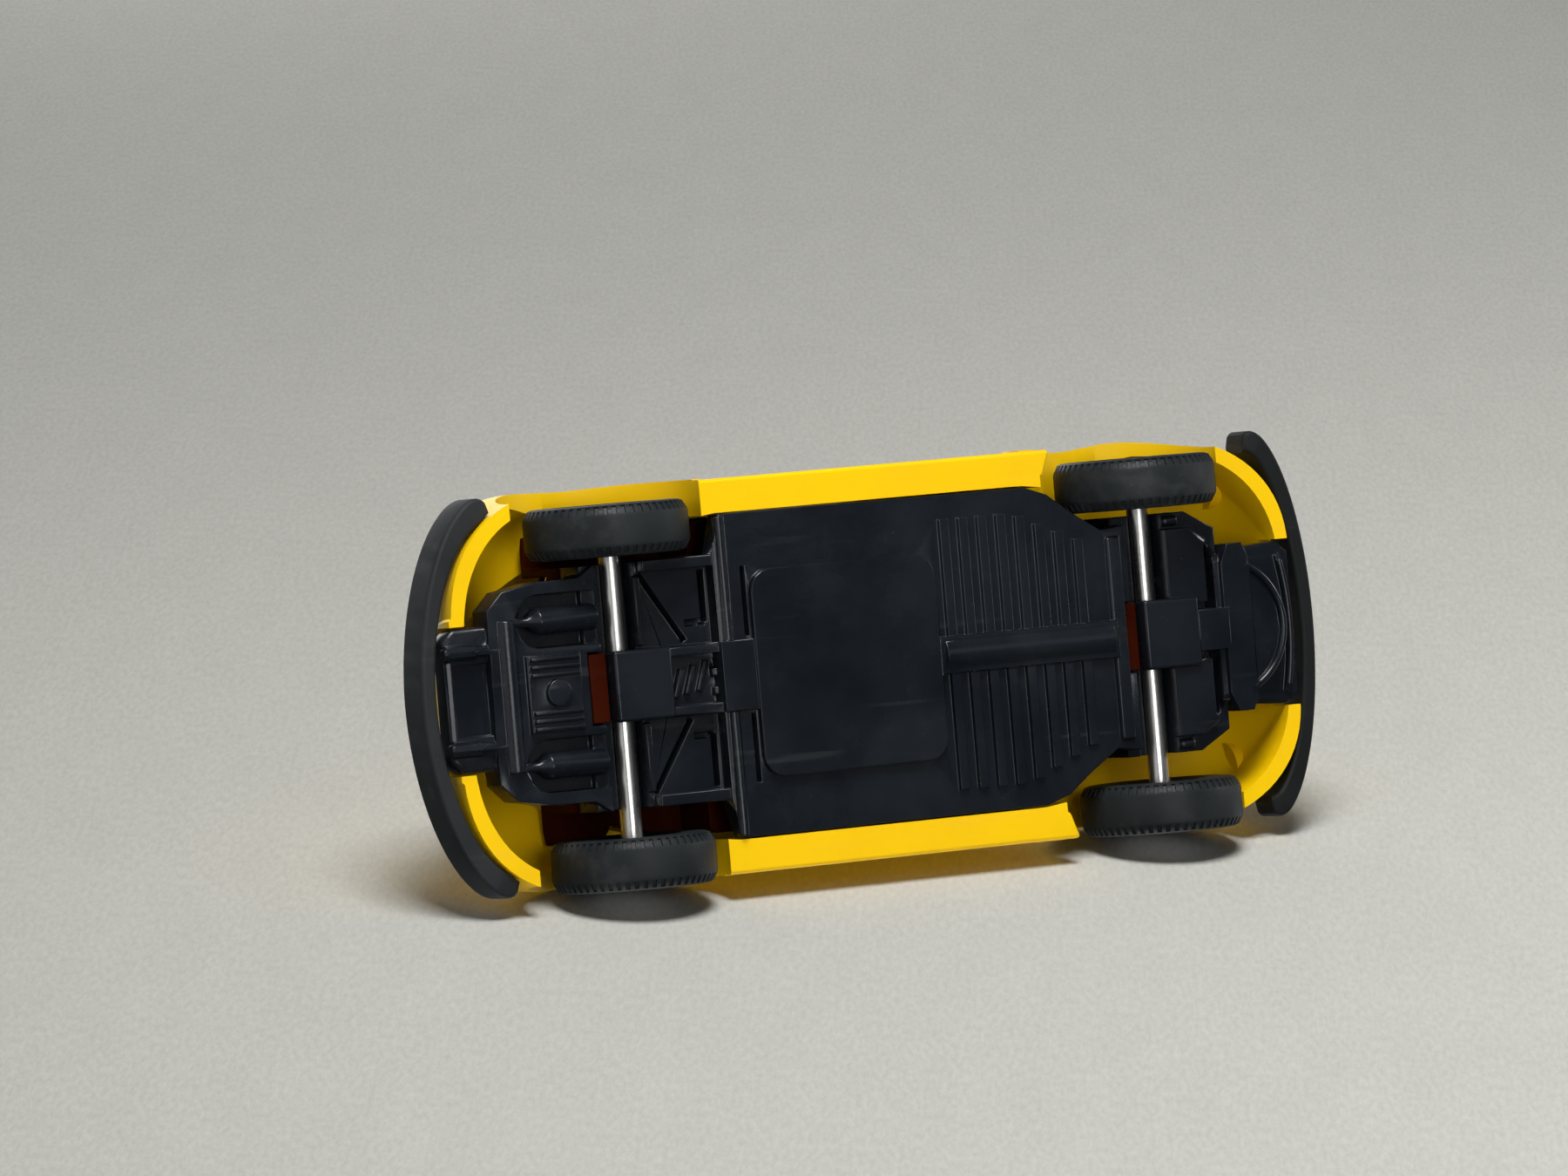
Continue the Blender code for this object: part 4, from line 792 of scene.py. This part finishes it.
def running_board(outline, low, high):
    """A flat bar with rounded edges."""
    solid = raised(outline, "Z", low, high)
    bmesh.ops.bevel(
        solid, geom=solid.edges[:], offset=BOARD_ROUNDING * MM, segments=4, profile=0.5, affect="EDGES",
        material=-1,
    )
    return solid


board_top = SILL_Z + BOARD_HEIGHT
board = running_board(board_outline, SILL_Z, board_top)
board_tip = running_board(tip_outline, SILL_Z - TIP_OVERLAP, board_top + TIP_OVERLAP)
print("running board:", round(BOARD_FRONT - BOARD_REAR, 2), "mm long without its tip")

# %% Body shell
HEADLAMP = (NOSE_X - 1.3, 6.7, 7.0, 1.1)
TAIL_LAMP = (TAIL_X + 1.8, 6.6, 6.6, 0.8)
LAMP_RIM, POCKET_DEPTH, BACK_FROM, BACK_TO = 0.25, 0.45, 0.9, 0.15
FRONT_ARCH, REAR_ARCH, ARCH_Z, ARCH_SEGMENTS = (13.8, 4.9), (-13.65, 4.7), AXLE_Z - 0.5, 96
INSIDE_WHEELS = 5.55
WALL = 0.6
BRACKET_HALF_WIDTH, APRON_HALF_WIDTH, NOTCH_TOP = 3.33, 3.88, 4.5
housings, openings, lamp_backs, pockets = [], [], [], []
for (face_x, y, z, radius), axle_x, forward in ((HEADLAMP, FRONT_X, 1), (TAIL_LAMP, REAR_X, -1)):
    beyond = (forward * REACH, y, z)
    back_end, back_face = (face_x - forward * BACK_FROM, y, z), (face_x - forward * BACK_TO, y, z)
    housings.append(bar(((axle_x + face_x) / 2, y, z), (face_x, y, z), radius + LAMP_RIM))
    openings.append(bar((face_x, y, z), beyond, radius + LAMP_RIM))
    lamp_backs.append(bar(back_end, back_face, radius + LAMP_RIM / 2))
    pockets.append(bar((face_x - forward * POCKET_DEPTH, y, z), beyond, radius))
for x, radius in (FRONT_ARCH, REAR_ARCH):
    openings.append(bar((x, INSIDE_WHEELS, ARCH_Z), (x, REACH, ARCH_Z), radius, ARCH_SEGMENTS))
notches = [
    block((-REACH, REAR_X - 5.5), (-BRACKET_HALF_WIDTH, BRACKET_HALF_WIDTH), (-REACH, NOTCH_TOP)),
    block((FRONT_X + 4.5, REACH), (-APRON_HALF_WIDTH, APRON_HALF_WIDTH), (-REACH, NOTCH_TOP)),
]
outside = combined("UNION", hull(), fenders() + both_sides([board] + housings))
missing = [hull(WALL, BELOW)] + fenders(WALL) + window_tools() + both_sides(openings) + notches
shell = combined("DIFFERENCE", outside, missing + [panel_lines()])
shell = combined("UNION", shell, both_sides(lamp_backs + [board_tip]))
shell = combined("DIFFERENCE", shell, both_sides(pockets))
finished("yellow_shell", shell, yellow, "car", "body_shell")

# %% [markdown]
# ## The chassis plate
# The CAD plate already has every rib, groove and pipe in its place, and only its edges are too sharp for a
# moulding. A copy of it is merged and its flat facets are joined. The tunnel gets a rounded back, and the
# spare-wheel well and the apron get a thin round ridge each, as the photograph shows soft lights there. A
# narrow bevel lets the edges catch the light.

# %% Chassis plate
TUNNEL_UNDERSIDE, TUNNEL_HALF_WIDTH, TUNNEL_RISE, TUNNEL_OVERLAP = 2.05, 0.62, 0.24, 0.15
TUNNEL_STEPS = 6
RIDGE_RADIUS, RIDGE_STATIONS, RIDGE_STEPS = 0.17, 48, 16
APRON_RADIUS = 14.0
SHORTEST_EDGE = 0.012


def copied(node_name):
    """A merged copy of a CAD node with its flat facets joined."""
    solid = bmesh.new()
    solid.from_mesh(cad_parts[node_name].data)
    bmesh.ops.remove_doubles(solid, verts=solid.verts, dist=1e-6)
    bmesh.ops.dissolve_limit(solid, angle_limit=math.radians(1.0), verts=solid.verts, edges=solid.edges)
    return solid


def arc_ridge(centre_x, radius, half_angle, z):
    """A thin round ridge along an arc that bulges forwards."""

    def place(column, row):
        angle = half_angle * (2 * column / RIDGE_STATIONS - 1)
        round_it = math.tau * row / RIDGE_STEPS
        reach = radius + RIDGE_RADIUS * math.cos(round_it)
        up = RIDGE_RADIUS * math.sin(round_it)
        return centre_x + reach * math.cos(angle), reach * math.sin(angle), z + up

    return bent_sheet(RIDGE_STATIONS, RIDGE_STEPS, place)


tunnel_section = [(-TUNNEL_HALF_WIDTH, TUNNEL_UNDERSIDE + TUNNEL_OVERLAP)]
for step in range(-TUNNEL_STEPS, TUNNEL_STEPS + 1):
    part = step / TUNNEL_STEPS
    tunnel_section.append((TUNNEL_HALF_WIDTH * part, TUNNEL_UNDERSIDE - TUNNEL_RISE * (1 - part ** 2)))
tunnel_section.append((TUNNEL_HALF_WIDTH, TUNNEL_UNDERSIDE + TUNNEL_OVERLAP))
tunnel_back = raised(tunnel_section, "X", FRONT_X - 11.75, FRONT_X - 2.75)
well_arc = arc_ridge(FRONT_X + 3.5, 3.11, math.radians(68), 2.45)
apron_arc = arc_ridge(FRONT_X + 7.5 - APRON_RADIUS, APRON_RADIUS - 0.14, 0.213, 3.13)
plate = combined("UNION", copied("chassis_plate"), [tunnel_back, well_arc, apron_arc])
bmesh.ops.remove_doubles(plate, verts=plate.verts, dist=SHORTEST_EDGE * MM)
finished("black_chassis", plate, black, "car", "chassis_plate", soft_edge=0.05)

# %% [markdown]
# ## The cabin
# The red-brown tub is seen only through the slots beside the axles, and from above through the windows. The
# CAD solid has its seats already, so a copy with softer edges is enough.

# %% Cabin tub
tub = copied("interior_tub")
finished("brown_cabin", tub, brown, "car", "interior_tub", soft_edge=0.08)

# %% [markdown]
# ## The bumpers
# Each bumper is a bar with a rounded section, bent along a superellipse so that it sweeps back at both ends,
# which are rounded off. It is deeper at its ends, where it lies against the fenders, so the body, grown by a
# small fit, is cut away from it. The front one lies in the shade, so its copy of the grey plastic has a
# darker colour, which is painted shade.

# %% Bumpers
BUMPER_STATIONS, BUMPER_HALF_WIDTH, BUMPER_LOW, BUMPER_HEIGHT, BUMPER_THICKNESS = 72, 9.2, 3.2, 2.0, 0.72
END_ROUNDING, END_SETBACK, END_HEIGHT, END_TURN = 0.3, 0.6, 0.75, 1.6
EDGE_RADIUS, EDGE_STEPS = 0.2, 4
FIT = 0.08
bumper_edge = []
for step in range(EDGE_STEPS + 1):
    angle = math.pi / 2 * step / EDGE_STEPS
    bumper_edge.append((EDGE_RADIUS * (1 - math.cos(angle)), EDGE_RADIUS * (1 - math.sin(angle))))


def bumper(face_x, sweep, plan, end_thickness):
    """A bumper whose face stands at face_x in the middle and lies back by the sweep at both ends."""
    forward = math.copysign(1.0, face_x)

    def place(column, row):
        angle = math.pi / 2 * (2 * column / BUMPER_STATIONS - 1)
        nearness = math.cos(angle)
        y = BUMPER_HALF_WIDTH * math.copysign(abs(math.sin(angle)) ** (2 / plan), angle)
        x = face_x - forward * sweep * (1 - nearness)
        sideways = math.sin(angle) * sweep * END_TURN
        outward = Vector((forward * nearness * BUMPER_HALF_WIDTH, sideways)).normalized()
        rounding = math.sqrt(1 - (1 - min(1.0, nearness / END_ROUNDING)) ** 2)
        setback = END_SETBACK * end_thickness * (1 - rounding)
        thickness = end_thickness + (BUMPER_THICKNESS - end_thickness) * nearness - setback
        height = BUMPER_HEIGHT * (END_HEIGHT + (1 - END_HEIGHT) * min(1.0, 3 * nearness))
        quarter, step = divmod(row, len(bumper_edge))
        depth, up = bumper_edge[EDGE_STEPS - step if quarter in (0, 2) else step]
        depth = setback + (depth if quarter in (0, 1) else thickness - depth)
        up = up if quarter in (0, 3) else height - up
        return x - outward.x * depth, y - outward.y * depth, BUMPER_LOW + (BUMPER_HEIGHT - height) / 2 + up

    solid = bent_sheet(BUMPER_STATIONS, 4 * len(bumper_edge), place)
    return combined("DIFFERENCE", solid, [hull(-FIT, BELOW)] + fenders(-FIT))


# The front bumper gets the darker copy of the grey, which is painted shade.
finished("grey_front_bumper", bumper(23.4, 3.0, 2.0, 1.2), grey_with_painted_shade, "car", "front_bumper")
finished("grey_rear_bumper", bumper(-23.4, 4.2, 1.9, 1.35), grey, "car", "rear_bumper")

# %% [markdown]
# ## Metals
# The pins are drawn steel wire, and the hub inserts have silver paint. Streaks of noise are stretched along a
# drawn wire, and on paint they stay round. They move the colour, the roughness and a slight bump together.

# %% Steel and silver
def metal(name, colour, second, rough, stretch, scale):
    """A metal whose streaks follow the direction with the smallest stretch value."""
    made, tree, shader = principled(name)
    shader.inputs["Metallic"].default_value = 1.0
    where = node(tree, "TexCoord")
    drawn = node(tree, "Mapping", Scale=stretch)
    streaks = node(tree, "TexNoise", Scale=scale, Detail=4.0, Roughness=0.6)
    dusty = placed(tree, dusting, Cover=0.6)
    spread = node(tree, "MapRange", From_Min=0.35, From_Max=0.65)
    gloss = node(tree, "MapRange", To_Min=rough[0], To_Max=rough[1])
    bumped = node(tree, "Bump", Strength=0.15, Distance=0.00002)
    shade = over(tree, spread.outputs["Result"], colour, second)
    shade = over(tree, scaled(tree, dusty.outputs["Patches"], 0.1), shade, dust_colour)
    linked(
        tree,
        (where, "Object", drawn, "Vector"),
        (drawn, "Vector", streaks, "Vector"),
        (streaks, "Fac", spread, "Value"),
        (spread, "Result", gloss, "Value"),
        (gloss, "Result", shader, "Roughness"),
        (streaks, "Fac", bumped, "Height"),
        (bumped, "Normal", shader, "Normal"),
        (shade, shader, "Base Color"),
    )
    return made


steel = metal("drawn_steel", (0.78, 0.77, 0.74), (0.55, 0.54, 0.52), (0.22, 0.38), (1.0, 0.04, 1.0), 5000.0)
silver = metal("silver_paint", (0.5, 0.5, 0.51), (0.4, 0.4, 0.42), (0.42, 0.52), (1.0, 1.0, 1.0), 6000.0)
print("metals:", steel.name, silver.name)

# %% [markdown]
# ## Wheels on their steel pins
# A wheel is turned: its half section is spun round the axle. The tyre is one dark moulding with small notches
# on both shoulders, which are every second face of a ring, pressed in. The hub is a dished disc with slots.

# %% Wheel sections
TYRE_HALF = 1.175
shoulder = [(1.175, 3.14), (1.155, 3.34), (1.09, 3.51), (0.74, 3.715), (0.6, 3.75)]
tyre_profile = [(0.22 - TYRE_HALF, 0.56), (0.22 - TYRE_HALF, 1.93), (-TYRE_HALF, 2.33)]
tyre_profile += [(-along, radius) for along, radius in shoulder]
tyre_profile += list(reversed(shoulder))
tyre_profile += [(TYRE_HALF, 2.58), (TYRE_HALF - 0.06, 2.45), (TYRE_HALF - 0.2, 2.33)]
tyre_profile += [(0.1, 2.33), (0.1, 0.56), tyre_profile[0]]
hub_profile = [(0.18, 0.0), (0.18, 2.25), (0.925, 2.25), (1.03, 2.21), (1.075, 2.13), (1.03, 2.04)]
hub_profile += [(0.955, 1.95), (0.7, 1.78), (0.625, 1.7), (0.575, 1.28), (0.6, 1.12), (0.75, 1.05)]
hub_profile += [(0.9, 0.97), (1.0, 0.78), (1.08, 0.5), (1.11, 0.25), (1.115, 0.0)]
pin_profile = [(-7.2, 0.0), (-7.2, 0.35), (-7.05, 0.5), (7.05, 0.5), (7.2, 0.35), (7.2, 0.0)]


def turned(profile, centre, segments, side=1):
    """Spins a (along, radius) profile round an axis through a centre, along +Y, or -Y for side -1."""
    solid = bmesh.new()
    points = []
    for along, radius in profile:
        points.append(solid.verts.new((Vector(centre) + Vector((0, side * along, radius))) * MM))
    edges = [solid.edges.new(pair) for pair in zip(points, points[1:])]
    bmesh.ops.spin(
        solid, geom=points + edges, cent=Vector(centre) * MM, axis=(0, 1, 0), angle=math.tau, steps=segments,
        use_merge=True,
    )
    bmesh.ops.remove_doubles(solid, verts=solid.verts, dist=TOUCHING)
    bmesh.ops.recalc_face_normals(solid, faces=solid.faces)
    return solid


def on_ring(face, centre, steps):
    """A face's distance from the axle, its step round it, and its place along it."""
    off = face.calc_center_median() / MM - Vector(centre)
    return math.hypot(off.x, off.z), math.floor(math.atan2(off.z, off.x) / math.tau * steps), off.y


# %% Wheel sets
PIN_Y, WHEEL_Y, TURNED_SHARP = 0.45, 7.5, 40
PIN_STEPS, TYRE_STEPS, HUB_STEPS, STEPS_PER_SLOT = 48, 112, 120, 12
NOTCH_RADII, NOTCH_INSET, NOTCH_DEPTH = (3.55, 3.68), 0.02, 0.07
SLOT_RADII, SLOT_INSET, SLOT_DEPTH, SLOT_OUT = (1.4, 1.6), 0.05, 0.1, 0.4
for end_name, axle_x in (("front", FRONT_X), ("rear", REAR_X)):
    pin = turned(pin_profile, (axle_x, PIN_Y, AXLE_Z), PIN_STEPS)
    finished(end_name + "_pin", pin, steel, end_name + "_pin", end_name + "_axle", TURNED_SHARP)
    for side_name, side in (("left", 1), ("right", -1)):
        wheel, wheels = f"{end_name}_{side_name}", end_name + "_wheels"
        centre = (axle_x, PIN_Y + side * WHEEL_Y, AXLE_Z)
        tyre = turned(tyre_profile, centre, TYRE_STEPS, side)
        notches = []
        for face in tyre.faces:
            radius, step, along = on_ring(face, centre, TYRE_STEPS)
            if NOTCH_RADII[0] < radius < NOTCH_RADII[1] and step % 2:
                notches.append(face)
        bmesh.ops.inset_individual(
            tyre, faces=notches, thickness=NOTCH_INSET * MM, depth=-NOTCH_DEPTH * MM, use_even_offset=True
        )
        finished(wheel + "_dark_tyre", tyre, rubber, wheels, wheel + "_tyre", TURNED_SHARP)
        hub = turned(hub_profile, centre, HUB_STEPS, side)
        slots = []
        for face in hub.faces:
            radius, step, along = on_ring(face, centre, HUB_STEPS)
            in_slot = step % STEPS_PER_SLOT < STEPS_PER_SLOT / 2
            if SLOT_RADII[0] < radius < SLOT_RADII[1] and along * side > SLOT_OUT and in_slot:
                slots.append(face)
        bmesh.ops.inset_region(
            hub, faces=slots, thickness=SLOT_INSET * MM, depth=-SLOT_DEPTH * MM, use_even_offset=True
        )
        finished(wheel + "_hub", hub, silver, wheels, wheel + "_rim", TURNED_SHARP)

# %% [markdown]
# ## Clear plastics
# Windows and lenses are polished clear plastic, which is glass with a lower index. Scratches make it rougher
# in fine lines, and a wave bump gives the lenses the ribs that are moulded into them.

# %% Glass and lenses
PLASTIC_IOR = 1.49


def lens_plastic(name, colour, second, transmission, rough, ribs):
    """A clear or tinted plastic with faint clouds, and moulded ribs where their strength isn't zero."""
    made, tree, shader = principled(name)
    shader.inputs["Transmission Weight"].default_value = transmission
    shader.inputs["IOR"].default_value = PLASTIC_IOR
    grained = placed(tree, mould_grain, Scale=900.0)
    scratched = placed(tree, scratching)
    shade = over(tree, grained.outputs["Cloud"], colour, second)
    gloss = node(tree, "MapRange", To_Min=rough[0], To_Max=rough[1])
    where = node(tree, "TexCoord")
    wave = node(tree, "TexWave", bands_direction="Y", Scale=700.0)
    bumped = node(tree, "Bump", Strength=ribs, Distance=0.00004)
    linked(
        tree,
        (shade, shader, "Base Color"),
        (scratched, "Scratches", gloss, "Value"),
        (gloss, "Result", shader, "Roughness"),
        (where, "Object", wave, "Vector"),
        (wave, "Fac", bumped, "Height"),
        (bumped, "Normal", shader, "Normal"),
    )
    return made


glass = lens_plastic("window_plastic", (0.96, 0.98, 0.98), (0.93, 0.96, 0.96), 1.0, (0.02, 0.12), 0.0)
lens_clear = lens_plastic("headlamp_plastic", (0.93, 0.94, 0.95), (0.86, 0.88, 0.9), 0.75, (0.05, 0.15), 0.5)
lens_red = lens_plastic("tail_lamp_plastic", (0.55, 0.012, 0.01), (0.4, 0.008, 0.006), 0.35, (0.08, 0.2), 0.4)
print("clear plastics:", [each.name for each in (glass, lens_clear, lens_red)])

# %% [markdown]
# ## Windows
# All windows are one clear insert: a thin dome behind the walls, with panes that stand in the openings. It
# comes from the same hull with a larger inset, so it follows the roof at an even gap.

# %% Windows
PANE_INSET, GLASS_WALL = 0.12, 0.45
panes = [combined("INTERSECT", hull(PANE_INSET), [tool]) for tool in window_tools(FIT)]
cabin_space = block((REAR_X + 0.5, COWL_X + 0.2), (-REACH, REACH), (BELT_Z - 0.6, REACH))
dome = combined("INTERSECT", hull(WALL + FIT), [cabin_space])
glazing = combined("DIFFERENCE", combined("UNION", dome, panes), [hull(WALL + FIT + GLASS_WALL, BELOW)])
finished("clear_windows", glazing, glass, "car", "window_glazing")

# %% [markdown]
# ## Lamps and steering wheel
# A lamp is a small turned lens: a shank that fits the bore in the shell, a flange that lies on its rim, and a
# dome. The steering wheel behind the windscreen is small enough to take as the CAD has it.

# %% Lamps and steering wheel
SHANK, FLANGE, FLANGE_EDGE, DOME_HEIGHT, DOME_SHARE, DOME_STEPS = 0.35, 0.15, 0.05, 0.3, 0.88, 8


def lens(radius, face_x, y, z, forward):
    """A domed lens with a shank in its bore, turned about Y and then swung to point along the car."""
    bore, flange = radius - FIT, radius + LAMP_RIM - FIT
    profile = [(-SHANK, 0.0), (-SHANK, bore), (FIT, bore), (FIT, flange)]
    profile += [(FIT + FLANGE - FLANGE_EDGE, flange), (FIT + FLANGE, flange - FLANGE_EDGE)]
    for step in range(DOME_STEPS + 1):
        angle = math.pi / 2 * (1 - step / DOME_STEPS)
        profile.append((FIT + FLANGE + DOME_HEIGHT * math.cos(angle), flange * DOME_SHARE * math.sin(angle)))
    solid = turned(profile, (0, 0, 0), 64)
    bmesh.ops.rotate(solid, verts=solid.verts, matrix=Matrix.Rotation(-forward * math.pi / 2, 3, "Z"))
    bmesh.ops.translate(solid, verts=solid.verts, vec=Vector((face_x, y, z)) * MM)
    return solid


for side_name, side in (("left", 1), ("right", -1)):
    for kind, node_name, slot, finish, (face_x, y, z, radius), forward in (
        ("headlamp", "headlight_lens", "lens_clear", lens_clear, HEADLAMP, 1),
        ("tail_lamp", "tail_lamp", "lamp_red", lens_red, TAIL_LAMP, -1),
    ):
        lamp_lens = lens(radius, face_x, side * y, z, forward)
        replaced = f"{node_name}_{side_name}"
        finished(f"{side_name}_{kind}", lamp_lens, finish, "car", replaced, TURNED_SHARP)
wheel = copied("steering_wheel")
finished("black_steering_wheel", wheel, black, "car", "steering_wheel", TURNED_SHARP)
